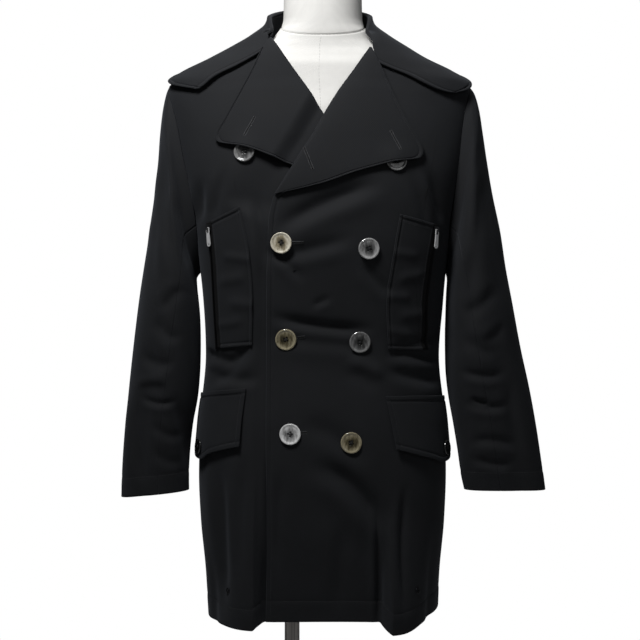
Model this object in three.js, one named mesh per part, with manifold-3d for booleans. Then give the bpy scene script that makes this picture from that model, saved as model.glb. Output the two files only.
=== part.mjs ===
// A long double-breasted pea coat, worn on a limbless dress form that stands on a round foot.
// Millimetres, Z up. The coat faces -Y. Left and right are the wearer's, so left is +X.
// The origin lies on the floor, under the middle of the coat.
import * as THREE from "three";
import Module from "manifold-3d";
import { mergeVertices } from "three/addons/utils/BufferGeometryUtils.js";

const wasm = await Module();
wasm.setup();

// Cloth and how its layers lie
const CLOTH = 2; // twill with its interlining
const PATCH_CLOTH = 1.4; // single cloth of pockets and flaps
const SEAM = 0.3; // gap kept at every seam
const ON_CLOTH = 0.6; // air under what lies on a panel
const ROLL_RADIUS = 2.6; // middle of the cloth where a lapel or the collar turns over
const UNDER_EDGE = -3.4; // outside of the right front where the left front covers it
const UNDER_LAPEL = -9.5; // the same where the right lapel lies between them
const TUCKED_LAPEL = -5; // middle of the right lapel under the left front

// Heights that the cut works to
const HEM = 620;
const NECK = 1458;
const BREAK = 1227;

// Armhole: a loop on the body, seen from the side as an ellipse
const ARMHOLE = { top: 1398, bottom: 1120, middleDepth: 5, halfDepth: 57 };

// Level sections of the worn coat, up to the fold of the collar
const BODY = [
  { height: 600, halfWidth: 166, front: 106, back: 108, shift: 0, power: 2.5 },
  { height: 680, halfWidth: 171, front: 110, back: 112, shift: 0, power: 2.5 },
  { height: 760, halfWidth: 179, front: 114, back: 115, shift: 0, power: 2.5 },
  { height: 830, halfWidth: 182, front: 116, back: 114, shift: 0, power: 2.5 },
  { height: 900, halfWidth: 181, front: 113, back: 106, shift: 0, power: 2.5 },
  { height: 1000, halfWidth: 172, front: 106, back: 96, shift: 0, power: 2.45 },
  { height: 1080, halfWidth: 177, front: 113, back: 104, shift: 1, power: 2.45 },
  { height: 1170, halfWidth: 188, front: 120, back: 114, shift: 1, power: 2.45 },
  { height: 1235, halfWidth: 202, front: 118, back: 113, shift: 0, power: 2.45 },
  { height: 1312, halfWidth: 219, front: 103, back: 102, shift: -3, power: 2.4 },
  { height: 1378, halfWidth: 225, front: 82, back: 88, shift: -5, power: 2.3 },
  { height: 1398, halfWidth: 219, front: 74, back: 82, shift: -5, power: 2.25 },
  { height: 1415, halfWidth: 186, front: 69, back: 78, shift: -5, power: 2.2 },
  { height: 1432, halfWidth: 150, front: 64, back: 74, shift: -4, power: 2.2 },
  { height: 1450, halfWidth: 113, front: 58, back: 70, shift: -4, power: 2.2 },
  { height: 1462, halfWidth: 92, front: 54, back: 67, shift: -4, power: 2.2 },
  { height: 1474, halfWidth: 80, front: 51, back: 64, shift: -4, power: 2.2 },
  { height: 1490, halfWidth: 75, front: 48, back: 63, shift: -4, power: 2.2 },
  { height: 1505, halfWidth: 70.5, front: 45, back: 62, shift: -4, power: 2.2 },
  { height: 1522, halfWidth: 65, front: 42, back: 61, shift: -3, power: 2.2 },
];

// Level sections of the collar leaf, which stands away from the shoulders
const LEAF = [
  { height: 1376, halfWidth: 236, front: 90, back: 98, shift: -6, power: 2.25 },
  { height: 1398, halfWidth: 228, front: 83, back: 92, shift: -6, power: 2.25 },
  { height: 1417, halfWidth: 200, front: 76, back: 87, shift: -7, power: 2.2 },
  { height: 1435, halfWidth: 163, front: 71, back: 83, shift: -7, power: 2.2 },
  { height: 1453, halfWidth: 131, front: 66, back: 79, shift: -5, power: 2.2 },
  { height: 1470, halfWidth: 103, front: 60, back: 75, shift: -4, power: 2.2 },
  { height: 1488, halfWidth: 81, front: 54, back: 70, shift: -4, power: 2.2 },
  { height: 1506, halfWidth: 75.5, front: 50, back: 67, shift: -4, power: 2.2 },
  { height: 1524, halfWidth: 70, front: 47, back: 66, shift: -3, power: 2.2 },
];

// Level sections of the dress form
const FORM = [
  { height: 770, halfWidth: 148, front: 86, back: 88, shift: 0, power: 2.2 },
  { height: 776, halfWidth: 154, front: 92, back: 94, shift: 0, power: 2.2 },
  { height: 840, halfWidth: 160, front: 98, back: 99, shift: 0, power: 2.2 },
  { height: 920, halfWidth: 152, front: 92, back: 88, shift: 0, power: 2.2 },
  { height: 1000, halfWidth: 142, front: 84, back: 78, shift: 0, power: 2.2 },
  { height: 1100, halfWidth: 154, front: 95, back: 88, shift: 0, power: 2.2 },
  { height: 1200, halfWidth: 166, front: 100, back: 98, shift: 0, power: 2.2 },
  { height: 1290, halfWidth: 174, front: 90, back: 92, shift: -2, power: 2.2 },
  { height: 1350, halfWidth: 180, front: 80, back: 82, shift: -3, power: 2.2 },
  { height: 1385, halfWidth: 183, front: 68, back: 76, shift: -4, power: 2.2 },
  { height: 1402, halfWidth: 181, front: 64, back: 72, shift: -5, power: 2.2 },
  { height: 1412, halfWidth: 176, front: 62, back: 70, shift: -5, power: 2.2 },
  { height: 1422, halfWidth: 163.5, front: 60, back: 69, shift: -5, power: 2.2 },
  { height: 1436, halfWidth: 134, front: 54, back: 67, shift: -4, power: 2.2 },
  { height: 1450, halfWidth: 97, front: 49.5, back: 64, shift: -4, power: 2.2 },
  { height: 1462, halfWidth: 76, front: 48.5, back: 61, shift: -2, power: 2.2 },
  { height: 1474, halfWidth: 67, front: 49, back: 57, shift: 0, power: 2.1 },
  { height: 1484, halfWidth: 61, front: 49, back: 55, shift: 0.5, power: 2 },
  { height: 1494, halfWidth: 58.5, front: 49, back: 54, shift: 0.5, power: 2 },
  { height: 1544, halfWidth: 57, front: 48, back: 53, shift: 0.5, power: 2 },
  { height: 1549, halfWidth: 53, front: 44, back: 49, shift: 0.5, power: 2 },
  { height: 1550, halfWidth: 46, front: 37, back: 42, shift: 0.5, power: 2 },
];

// Long folds of the skirt: where each is deepest round the coat, how far it spreads towards the middle of the
// front and away from it, how far out it stands at the hem, and the height where it has faded out. Degrees.
const SKIRT_FOLDS = [
  { middle: -27, inner: 1.3, outer: 17, out: 21, top: 862 },
  { middle: 27, inner: 1.3, outer: 17, out: 26, top: 790 },
  { middle: 4, inner: 13, outer: 13, out: -5, top: 760 },
  { middle: -66, inner: 5, outer: 5, out: -4, top: 800 },
  { middle: 62, inner: 5, outer: 6, out: -4, top: 820 },
  { middle: 102, inner: 9, outer: 9, out: 7, top: 770 },
  { middle: -106, inner: 10, outer: 9, out: 6, top: 790 },
  { middle: 141, inner: 12, outer: 11, out: 11, top: 850 },
  { middle: -148, inner: 13, outer: 10, out: 9, top: 810 },
  { middle: 170, inner: 9, outer: 9, out: -6, top: 800 },
];

// Height of the hem and of the neck seam round the coat, in degrees from the middle of the front
const HEM_LINE = [
  { angle: -180, height: 618 },
  { angle: -120, height: 616 },
  { angle: -91, height: 617 },
  { angle: -60, height: 613 },
  { angle: -28, height: 610 },
  { angle: -23.5, height: 620 },
  { angle: 0, height: 621 },
  { angle: 23.5, height: 620 },
  { angle: 27, height: 604 },
  { angle: 33, height: 605 },
  { angle: 50, height: 616 },
  { angle: 91, height: 627 },
  { angle: 140, height: 618 },
  { angle: 180, height: 618 },
];
const NECK_LINE = [
  { angle: 34, height: 1446 },
  { angle: 46, height: 1455 },
  { angle: 60, height: 1460 },
  { angle: 90, height: 1464 },
  { angle: 130, height: 1469 },
  { angle: 180, height: 1472 },
];

// Free front edge of the left front, below the lapel
const FREE_EDGE = [
  { height: 600, across: -80 },
  { height: 900, across: -80 },
  { height: 1100, across: -79 },
  { height: 1190, across: -76 },
  { height: 1227, across: -69 },
];

// Lapels: the line that each turns on, and its outer edge, from the collar down to the break
const LEFT_LAPEL = [
  { share: 0, rollAcross: 68.6, rollHeight: 1445, edgeAcross: 80.1, edgeHeight: 1420 },
  { share: 0.2, rollAcross: 46, rollHeight: 1411, edgeAcross: 99, edgeHeight: 1377 },
  { share: 0.38, rollAcross: 20, rollHeight: 1373, edgeAcross: 119, edgeHeight: 1336 },
  { share: 0.55, rollAcross: -6, rollHeight: 1328, edgeAcross: 141.5, edgeHeight: 1289 },
  { share: 0.6, rollAcross: -13, rollHeight: 1315, edgeAcross: 137.5, edgeHeight: 1281 },
  { share: 0.7, rollAcross: -28, rollHeight: 1292, edgeAcross: 97, edgeHeight: 1273 },
  { share: 0.8, rollAcross: -41, rollHeight: 1270, edgeAcross: 51.5, edgeHeight: 1261 },
  { share: 0.9, rollAcross: -55, rollHeight: 1248, edgeAcross: 0.5, edgeHeight: 1243.5 },
  { share: 1, rollAcross: -67, rollHeight: 1228, edgeAcross: -55, edgeHeight: 1230.5 },
];
const RIGHT_LAPEL = [
  { share: 0, rollAcross: -73.5, rollHeight: 1460, edgeAcross: -86.2, edgeHeight: 1438 },
  { share: 0.2, rollAcross: -52, rollHeight: 1426, edgeAcross: -110, edgeHeight: 1393 },
  { share: 0.4, rollAcross: -22, rollHeight: 1382, edgeAcross: -138, edgeHeight: 1341 },
  { share: 0.55, rollAcross: 0, rollHeight: 1349, edgeAcross: -152, edgeHeight: 1312 },
  { share: 0.6, rollAcross: 7, rollHeight: 1337, edgeAcross: -149, edgeHeight: 1305 },
  { share: 0.7, rollAcross: 22, rollHeight: 1310, edgeAcross: -109, edgeHeight: 1295 },
  { share: 0.82, rollAcross: 41, rollHeight: 1275, edgeAcross: -48, edgeHeight: 1273 },
  { share: 0.92, rollAcross: 57, rollHeight: 1246, edgeAcross: 5, edgeHeight: 1252 },
  { share: 1, rollAcross: 67, rollHeight: 1229, edgeAcross: 55, edgeHeight: 1232 },
];
const LAPEL_SHARES = [0, 0.1, 0.2, 0.3, 0.4, 0.5, 0.55, 0.6, 0.65, 0.72, 0.8, 0.88, 0.94, 1];
const LAPEL_REACHES = [0.12, 0.25, 0.42, 0.6, 0.8, 1];
const FRONT_FADE = 62; // how far beside the left front's edge the layers under it begin to sink in
const LAPEL_FADE = 18;
const LAPEL_SEAM = 2.2; // level gap between a front and the end of its lapel's roll
const LAPEL_SWELL = 3.5; // how far a lapel bows out beside its roll
const BUTTON_SWELL = 4.6; // and over the top button that lies under it
const SWELL_REACH = 22; // how far from the roll and from the button these swells reach

// Collar leaf: its gorge and fold, then its outer edge, from the notch to the middle of the back, in degrees
const LEFT_LEAF = [
  { share: 0, foldAngle: 26.7, foldHeight: 1420, edgeAngle: 56.4, edgeHeight: 1380 },
  { share: 0.07, foldAngle: 36, foldHeight: 1447.5, edgeAngle: 73, edgeHeight: 1390 },
  { share: 0.15, foldAngle: 56, foldHeight: 1474, edgeAngle: 91, edgeHeight: 1411 },
  { share: 0.25, foldAngle: 76, foldHeight: 1494, edgeAngle: 105, edgeHeight: 1411 },
  { share: 0.36, foldAngle: 96, foldHeight: 1502, edgeAngle: 119, edgeHeight: 1411 },
  { share: 0.56, foldAngle: 125, foldHeight: 1512, edgeAngle: 138, edgeHeight: 1416 },
  { share: 0.78, foldAngle: 153, foldHeight: 1519, edgeAngle: 160, edgeHeight: 1424 },
  { share: 1, foldAngle: 180, foldHeight: 1522, edgeAngle: 180, edgeHeight: 1428 },
];
const RIGHT_LEAF = [
  { share: 0, foldAngle: 34.6, foldHeight: 1438, edgeAngle: 46.5, edgeHeight: 1384 },
  { share: 0.07, foldAngle: 47, foldHeight: 1462, edgeAngle: 72, edgeHeight: 1397 },
  { share: 0.15, foldAngle: 60, foldHeight: 1478, edgeAngle: 90, edgeHeight: 1412 },
  { share: 0.25, foldAngle: 76, foldHeight: 1494, edgeAngle: 105, edgeHeight: 1411 },
  { share: 0.36, foldAngle: 96, foldHeight: 1502, edgeAngle: 119, edgeHeight: 1411 },
  { share: 0.56, foldAngle: 125, foldHeight: 1512, edgeAngle: 138, edgeHeight: 1416 },
  { share: 0.78, foldAngle: 153, foldHeight: 1519, edgeAngle: 160, edgeHeight: 1424 },
  { share: 1, foldAngle: 180, foldHeight: 1522, edgeAngle: 180, edgeHeight: 1428 },
];
const LEAF_SHARES = [0, 0.035, 0.07, 0.11, 0.15, 0.2, 0.26, 0.33, 0.42, 0.52, 0.64, 0.76, 0.88, 1];
const LEAF_REACHES = [0.1, 0.28, 0.5, 0.75, 1];
const LEAF_ROLL = 5.5; // width of the leaf that turns over at the collar's fold
const LEAF_BOW = 12; // how far the leaf's front edge bows down between the notch and its tip
const STAND_SEAM = 1.5; // gap between the stand's top and the leaf's roll
const STAND_START = 54; // degrees: the collar stand runs from here round the back

// Sleeves: the outer and the inner side of each ring in turn, from the armhole to the cuff,
// how deep the ring is towards the front and the back, and the depth of its middle
const LEFT_SLEEVE = [
  { outAcross: 225, outHeight: 1385, inAcross: 185, inHeight: 1112, front: 60, back: 64, depth: 4 },
  { outAcross: 232, outHeight: 1360, inAcross: 185, inHeight: 1102, front: 66, back: 70, depth: 3 },
  { outAcross: 237, outHeight: 1325, inAcross: 184, inHeight: 1090, front: 71, back: 74, depth: 2 },
  { outAcross: 243, outHeight: 1280, inAcross: 183, inHeight: 1075, front: 74, back: 76, depth: 0 },
  { outAcross: 251, outHeight: 1232, inAcross: 182, inHeight: 1055, front: 74, back: 75, depth: -2 },
  { outAcross: 262, outHeight: 1180, inAcross: 181, inHeight: 1030, front: 73, back: 73, depth: -4 },
  { outAcross: 270, outHeight: 1125, inAcross: 181, inHeight: 1000, front: 70, back: 70, depth: -6 },
  { outAcross: 279, outHeight: 1075, inAcross: 182, inHeight: 970, front: 66, back: 66, depth: -9 },
  { outAcross: 291, outHeight: 1010, inAcross: 186, inHeight: 935, front: 59, back: 59, depth: -12 },
  { outAcross: 304, outHeight: 950, inAcross: 192, inHeight: 900, front: 51, back: 51, depth: -15 },
  { outAcross: 315, outHeight: 890, inAcross: 198, inHeight: 862, front: 43, back: 43, depth: -18 },
  { outAcross: 323, outHeight: 835, inAcross: 203, inHeight: 826, front: 35, back: 35, depth: -20 },
  { outAcross: 327, outHeight: 802, inAcross: 208, inHeight: 802, front: 30, back: 30, depth: -21 },
];
const RIGHT_SLEEVE = [
  { outAcross: 231, outHeight: 1384, inAcross: 186, inHeight: 1112, front: 60, back: 64, depth: 4 },
  { outAcross: 236, outHeight: 1360, inAcross: 186, inHeight: 1102, front: 66, back: 70, depth: 3 },
  { outAcross: 240, outHeight: 1325, inAcross: 185, inHeight: 1090, front: 71, back: 74, depth: 2 },
  { outAcross: 243, outHeight: 1280, inAcross: 183, inHeight: 1075, front: 74, back: 76, depth: 0 },
  { outAcross: 248, outHeight: 1235, inAcross: 181, inHeight: 1055, front: 75, back: 76, depth: -2 },
  { outAcross: 255, outHeight: 1180, inAcross: 180, inHeight: 1030, front: 74, back: 74, depth: -5 },
  { outAcross: 263, outHeight: 1125, inAcross: 180, inHeight: 1000, front: 71, back: 71, depth: -8 },
  { outAcross: 270, outHeight: 1075, inAcross: 181, inHeight: 970, front: 67, back: 67, depth: -11 },
  { outAcross: 278, outHeight: 1010, inAcross: 184, inHeight: 935, front: 61, back: 60, depth: -15 },
  { outAcross: 284, outHeight: 950, inAcross: 190, inHeight: 900, front: 54, back: 52, depth: -19 },
  { outAcross: 289, outHeight: 890, inAcross: 194, inHeight: 862, front: 46, back: 44, depth: -22 },
  { outAcross: 293, outHeight: 835, inAcross: 196, inHeight: 826, front: 39, back: 38, depth: -25 },
  { outAcross: 294, outHeight: 792, inAcross: 196, inHeight: 802, front: 35, back: 34, depth: -26 },
];
// The two seams of each sleeve, in degrees round its rings from the outer side by way of the front
const SLEEVE_SEAMS = { frontTop: 121, frontCuff: 97, backTop: 238, backCuff: 262 };
// Long soft troughs of the sleeves: place round the ring, spread, depth, and the stretch of rings they run over
const SLEEVE_TROUGHS = [
  { middle: 48, spread: 13, out: -5, from: 0.12, to: 0.62 },
  { middle: 72, spread: 11, out: -4, from: 0.55, to: 1.2 },
  { middle: 300, spread: 13, out: -5, from: 0.15, to: 0.7 },
];
const SLEEVE_START = 0.8; // gap between an armhole and its sleeve
const SLEEVE_SQUARENESS = 0.93; // power of sine and cosine round a ring: 1 is an ellipse, less is squarer

// Chest pockets: outer and inner edge, from the bottom up
const RIGHT_CHEST_POCKET = [
  { share: 0, outAcross: -153.8, outHeight: 1009, inAcross: -100.6, inHeight: 1014 },
  { share: 0.33, outAcross: -156.7, outHeight: 1066, inAcross: -99, inHeight: 1080 },
  { share: 0.66, outAcross: -160, outHeight: 1128, inAcross: -103.5, inHeight: 1145 },
  { share: 1, outAcross: -166.5, outHeight: 1189, inAcross: -117.5, inHeight: 1211 },
];
const LEFT_CHEST_POCKET = [
  { share: 0, outAcross: 150.7, outHeight: 1007, inAcross: 93.2, inHeight: 1008.5 },
  { share: 0.33, outAcross: 150, outHeight: 1064, inAcross: 90.5, inHeight: 1071 },
  { share: 0.66, outAcross: 156, outHeight: 1124, inAcross: 98, inHeight: 1134 },
  { share: 1, outAcross: 166.5, outHeight: 1186, inAcross: 109.6, inHeight: 1200 },
];
const ZIP = { width: 8, thick: 1 };

// Flaps of the hip pockets: across from the inner to the outer end, in degrees from the middle of the front
const RIGHT_FLAP = [
  { share: 0, topAngle: -33.4, top: 952, bottomAngle: -35, bottom: 870 },
  { share: 0.25, topAngle: -46, top: 949, bottomAngle: -47, bottom: 864 },
  { share: 0.5, topAngle: -58, top: 947, bottomAngle: -59, bottom: 857 },
  { share: 0.68, topAngle: -67, top: 945.5, bottomAngle: -68, bottom: 848.5 },
  { share: 0.84, topAngle: -77, top: 944, bottomAngle: -78, bottom: 851 },
  { share: 1, topAngle: -86, top: 943, bottomAngle: -87, bottom: 859 },
];
const LEFT_FLAP = [
  { share: 0, topAngle: 25.2, top: 941, bottomAngle: 29.6, bottom: 866.5 },
  { share: 0.25, topAngle: 40, top: 941, bottomAngle: 43, bottom: 857.5 },
  { share: 0.5, topAngle: 55, top: 940.5, bottomAngle: 57, bottom: 850 },
  { share: 0.68, topAngle: 66, top: 940, bottomAngle: 67, bottom: 845 },
  { share: 0.84, topAngle: 76, top: 939.5, bottomAngle: 77, bottom: 847.5 },
  { share: 1, topAngle: 85, top: 939, bottomAngle: 86, bottom: 853 },
];
const FLAP_STAND_OFF = 4.5; // how far a flap's lower edge stands out

// Front buttons, in the wearer's right and left column, and how far each stands off on its thread
const BUTTONS = [
  { name: "button_right_1", across: -111.2, height: 1289.5, seat: 0.4 },
  { name: "button_right_2", across: -58.4, height: 1159, seat: 0.5 },
  { name: "button_right_3", across: -52.2, height: 1022, seat: 0.7 },
  { name: "button_right_4", across: -45.8, height: 888, seat: 0.5 },
  { name: "button_left_1", across: 104.6, height: 1276.5, seat: 0.3 },
  { name: "button_left_2", across: 65.1, height: 1151, seat: 0.6 },
  { name: "button_left_3", across: 52.8, height: 1018.5, seat: 0.7 },
  { name: "button_left_4", across: 40.7, height: 876, seat: 0.5 },
];
const BUTTON = { radius: 15.2, thick: 3.6, rim: 1.9, dish: 1 };
const FLAP_BUTTON = { radius: 11.4, thick: 3.2, rim: 1.6, dish: 0.8 };
const FLAP_BUTTON_SEAT = 0.5;
const EYELET_SEAT = 0.3;
const EYELETS = [
  { name: "right_eyelet", across: -129.1, height: 663 },
  { name: "left_eyelet", across: 125.5, height: 664 },
];
const EYELET = { radius: 4.4, hole: 1.9, thick: 1.4 };

// Stand
const POLE = { across: -45, radius: 11 };
const FOOT = { radius: 190, rim: 7, crown: 12, hub: 24, hubHeight: 34 };

const MATERIALS = {
  twill: { color: 0x15161a, roughness: 0.92, metalness: 0 },
  horn: { color: 0x4a3c2c, roughness: 0.3, metalness: 0 },
  darkHorn: { color: 0x33353a, roughness: 0.3, metalness: 0 },
  zipTape: { color: 0x0e0e10, roughness: 0.8, metalness: 0 },
  nickel: { color: 0xb9bbbe, roughness: 0.25, metalness: 1 },
  blackBrass: { color: 0x1b1b1d, roughness: 0.4, metalness: 0.8 },
  linen: { color: 0xe6e1d8, roughness: 0.9, metalness: 0 },
  chrome: { color: 0xc8cacc, roughness: 0.12, metalness: 1 },
  steel: { color: 0xb4b6b8, roughness: 0.3, metalness: 1 },
};

const coat = new THREE.Group();

function addPiece(name, geometry, look) {
  const mesh = new THREE.Mesh(geometry, new THREE.MeshStandardMaterial(MATERIALS[look]));
  mesh.name = name;
  coat.add(mesh);
}

const radians = THREE.MathUtils.degToRad;

// 0 below the first value, 1 above the second, with a soft S between them
function ease(value, low, high) {
  return THREE.MathUtils.smoothstep(value, low, high);
}

// The value of a column at a place along a table, on a smooth curve that never overshoots its rows
function along(table, key, column, place) {
  const last = table.length - 1;
  const at = THREE.MathUtils.clamp(place, table[0][key], table[last][key]);
  let row = 0;
  while (row < last - 1 && table[row + 1][key] < at) row += 1;
  const gap = (index) => table[index + 1][key] - table[index][key];
  const rise = (index) => (table[index + 1][column] - table[index][column]) / gap(index);
  const slope = (index) => {
    if (index === 0) return rise(0);
    if (index === last) return rise(last - 1);
    const before = rise(index - 1);
    const after = rise(index);
    return before * after <= 0 ? 0 : (2 * before * after) / (before + after);
  };
  const width = gap(row);
  const t = (at - table[row][key]) / width;
  const start = table[row][column] * (1 + 2 * t) * (1 - t) ** 2;
  const end = table[row + 1][column] * (3 - 2 * t) * t ** 2;
  const bend = width * (slope(row) * t * (1 - t) ** 2 - slope(row + 1) * t ** 2 * (1 - t));
  return start + end + bend;
}

// Straight lines between the rows of a table, carried on past its ends
function straight(table, key, column, place) {
  let row = 0;
  while (row < table.length - 2 && table[row + 1][key] < place) row += 1;
  const low = table[row];
  const high = table[row + 1];
  return THREE.MathUtils.mapLinear(place, low[key], high[key], low[column], high[column]);
}

function sectionAt(table, height) {
  const section = { height };
  for (const column of ["halfWidth", "front", "back", "shift", "power"]) {
    section[column] = along(table, "height", column, height);
  }
  return section;
}

// How far the skirt's folds push the cloth out at an angle round the coat
function foldPush(angle, height) {
  const degrees = THREE.MathUtils.radToDeg(angle);
  let push = 0;
  for (const fold of SKIRT_FOLDS) {
    const away = THREE.MathUtils.euclideanModulo(degrees - fold.middle + 180, 360) - 180;
    const outward = away * Math.sign(fold.middle) > 0;
    const spread = outward ? fold.outer : fold.inner;
    push += fold.out * Math.exp(-((away / spread) ** 2) / 2) * ease(fold.top - height, 0, fold.top - HEM);
  }
  return push;
}

// A point on a level section: 0 is the middle of the front, a quarter turn the left side
function onSection(section, angle, push = 0) {
  const side = Math.sin(angle);
  const ahead = Math.cos(angle);
  const across = Math.sign(side) * Math.abs(side) ** (2 / section.power);
  const deep = Math.sign(ahead) * Math.abs(ahead) ** (2 / section.power);
  const depth = ahead > 0 ? section.front : section.back;
  return new THREE.Vector3(
    section.shift + across * section.halfWidth + push * side,
    -deep * depth - push * ahead,
    section.height,
  );
}

const bodyPoint = (angle, height) => onSection(sectionAt(BODY, height), angle, foldPush(angle, height));
const leafPoint = (angle, height) => onSection(sectionAt(LEAF, height), angle);

// Outward direction of a surface that is given as a function of angle and height
function outward(surface, angle, height) {
  const turn = 0.006;
  const climb = 0.6;
  const round = surface(angle + turn, height).sub(surface(angle - turn, height));
  const up = surface(angle, height + climb).sub(surface(angle, height - climb));
  return round.cross(up).normalize();
}

// The body's surface, moved out by a distance
function onBody(angle, height, out = 0) {
  return bodyPoint(angle, height).addScaledVector(outward(bodyPoint, angle, height), out);
}

// Angle of a point of the front that lies so far across at a height
function frontAngle(across, height) {
  const section = sectionAt(BODY, height);
  const offset = across - section.shift;
  const share = Math.min(Math.abs(offset) / section.halfWidth, 1);
  return Math.sign(offset) * Math.asin(share ** (section.power / 2));
}

// Angle, on the left side, of a point of a section at a depth
function depthAngle(depth, height) {
  const section = sectionAt(BODY, height);
  const room = depth < 0 ? section.front : section.back;
  const turn = Math.asin((Math.abs(depth) / room) ** (section.power / 2));
  return Math.PI / 2 + Math.sign(depth) * turn;
}

// Angle of the side seam, the armhole or the shoulder seam: facing is 1 for the front's side of it, -1 for the back's
function sideAngle(height, facing) {
  const middle = (ARMHOLE.top + ARMHOLE.bottom) / 2;
  const half = (ARMHOLE.top - ARMHOLE.bottom) / 2;
  const level = THREE.MathUtils.clamp((height - middle) / half, -1, 1);
  const reach = ARMHOLE.halfDepth * Math.sqrt(1 - level ** 2);
  return depthAngle(ARMHOLE.middleDepth - facing * reach, height);
}

// Change of angle that moves a point of the body by a distance
function turnFor(distance, angle, height) {
  const turn = 0.01;
  return (distance * 2 * turn) / bodyPoint(angle + turn, height).distanceTo(bodyPoint(angle - turn, height));
}

const hemHeight = (angle) => along(HEM_LINE, "angle", "height", THREE.MathUtils.radToDeg(angle));
const neckHeight = (angle) => along(NECK_LINE, "angle", "height", Math.abs(THREE.MathUtils.radToDeg(angle)));

// A row of a panel is level, but bends to meet the hem below and the neck seam above
function rowHeight(angle, nominal) {
  const nearHem = 1 - ease(nominal, HEM, HEM + 170);
  const nearNeck = ease(nominal, NECK - 55, NECK);
  return nominal + (hemHeight(angle) - HEM) * nearHem + (neckHeight(angle) - NECK) * nearNeck;
}

// A line over the height of a lapel: how far across it turns
function rollAcross(lapel, height) {
  const rising = [...lapel].reverse();
  return straight(rising, "rollHeight", "rollAcross", height);
}

const leftEdge = (height) =>
  height < BREAK ? along(FREE_EDGE, "height", "across", height) : rollAcross(LEFT_LAPEL, height);

// 1 where the left front covers what lies under it, fading out beside its edge, and wider under a lapel
function covered(across, height, fade) {
  const lapelZone = ease(height, BREAK - 40, BREAK);
  return ease(across - leftEdge(height), -22 - fade * lapelZone, -6 - 6 * lapelZone);
}

// Closed solid between two grids of points, an outer and an inner face
function wallBetween(outer, inner) {
  const rows = outer.length;
  const columns = outer[0].length;
  const points = [...outer.flat(), ...inner.flat()];
  const faces = [];
  const out = (row, column) => row * columns + column;
  const into = (row, column) => (rows + row) * columns + column;
  const quad = (a, b, c, d) => faces.push([a, b, c], [a, c, d]);
  for (let row = 0; row < rows - 1; row += 1) {
    for (let column = 0; column < columns - 1; column += 1) {
      quad(out(row, column), out(row, column + 1), out(row + 1, column + 1), out(row + 1, column));
      quad(into(row, column), into(row + 1, column), into(row + 1, column + 1), into(row, column + 1));
    }
  }
  const top = rows - 1;
  const end = columns - 1;
  for (let column = 0; column < end; column += 1) {
    quad(into(0, column), into(0, column + 1), out(0, column + 1), out(0, column));
    quad(out(top, column), out(top, column + 1), into(top, column + 1), into(top, column));
  }
  for (let row = 0; row < top; row += 1) {
    quad(out(row, 0), out(row + 1, 0), into(row + 1, 0), into(row, 0));
    quad(into(row, end), into(row + 1, end), out(row + 1, end), out(row, end));
  }
  return solidFrom(points, faces);
}

// Geometry from points and faces, turned so that its faces point out
function solidFrom(points, faces) {
  let volume = 0;
  for (const [a, b, c] of faces) {
    volume += points[a].dot(points[b].clone().cross(points[c]));
  }
  const index = faces.flatMap(([a, b, c]) => (volume > 0 ? [a, b, c] : [a, c, b]));
  const geometry = new THREE.BufferGeometry();
  geometry.setAttribute("position", new THREE.Float32BufferAttribute(points.flatMap((point) => point.toArray()), 3));
  geometry.setIndex(index);
  geometry.computeVertexNormals();
  return geometry;
}

// Direction square to a grid of points at one of them
function gridNormal(grid, row, column) {
  const rows = grid.length - 1;
  const columns = grid[0].length - 1;
  const down = grid[Math.min(row + 1, rows)][column].clone().sub(grid[Math.max(row - 1, 0)][column]);
  const over = grid[row][Math.min(column + 1, columns)].clone().sub(grid[row][Math.max(column - 1, 0)]);
  return over.cross(down).normalize();
}

// A wall of even thickness round a grid of points in its middle
function wallAround(middle, thick) {
  const shifted = (distance) =>
    middle.map((line, row) =>
      line.map((point, column) => point.clone().addScaledVector(gridNormal(middle, row, column), distance)),
    );
  return wallBetween(shifted(thick / 2), shifted(-thick / 2));
}

// Rows of points for a wall on the body: place gives angle, height and distance out for a row and a column
function wallOnBody(rowCount, columnCount, place, thick) {
  const face = (depth) =>
    Array.from({ length: rowCount }, (_, row) =>
      Array.from({ length: columnCount }, (_, column) => {
        const { angle, height, out } = place(row, column);
        return onBody(angle, height, out - depth);
      }),
    );
  return wallBetween(face(0), face(thick));
}

const SKIRT_ROWS = [620, 650, 685, 725, 770, 820, 870, 920, 965, 1000, 1030, 1062, 1095];
const ARMHOLE_STEPS = 10;
const SHOULDER_ROWS = [1409, 1420, 1434, 1447, 1458];

function panelRows() {
  const middle = (ARMHOLE.top + ARMHOLE.bottom) / 2;
  const half = (ARMHOLE.top - ARMHOLE.bottom) / 2;
  const armholeRows = [];
  for (let step = 0; step <= ARMHOLE_STEPS; step += 1) {
    armholeRows.push(middle - half * Math.cos((Math.PI * step) / ARMHOLE_STEPS));
  }
  return [...SKIRT_ROWS, ...armholeRows, ...SHOULDER_ROWS];
}

// A panel of the body between two lines, each the angle at a height
function bodyPanel(shares, startAt, endAt, outAt) {
  const rows = panelRows();
  const place = (row, column) => {
    const nominal = rows[row];
    const share = shares[column];
    let height = nominal;
    let angle = 0;
    for (let pass = 0; pass < 3; pass += 1) {
      angle = THREE.MathUtils.lerp(startAt(height), endAt(height), share);
      height = rowHeight(angle, nominal);
    }
    return { angle, height, out: outAt(angle, height) };
  };
  return wallOnBody(rows.length, shares.length, place, CLOTH);
}

// Side of a panel at the side seam, armhole and shoulder seam, with its half of the seam's gap
function sideLine(height, facing) {
  const angle = sideAngle(height, facing);
  const inArmhole = height > ARMHOLE.bottom && height < ARMHOLE.top;
  return inArmhole ? angle : angle - facing * turnFor(SEAM / 2, angle, height);
}

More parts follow.
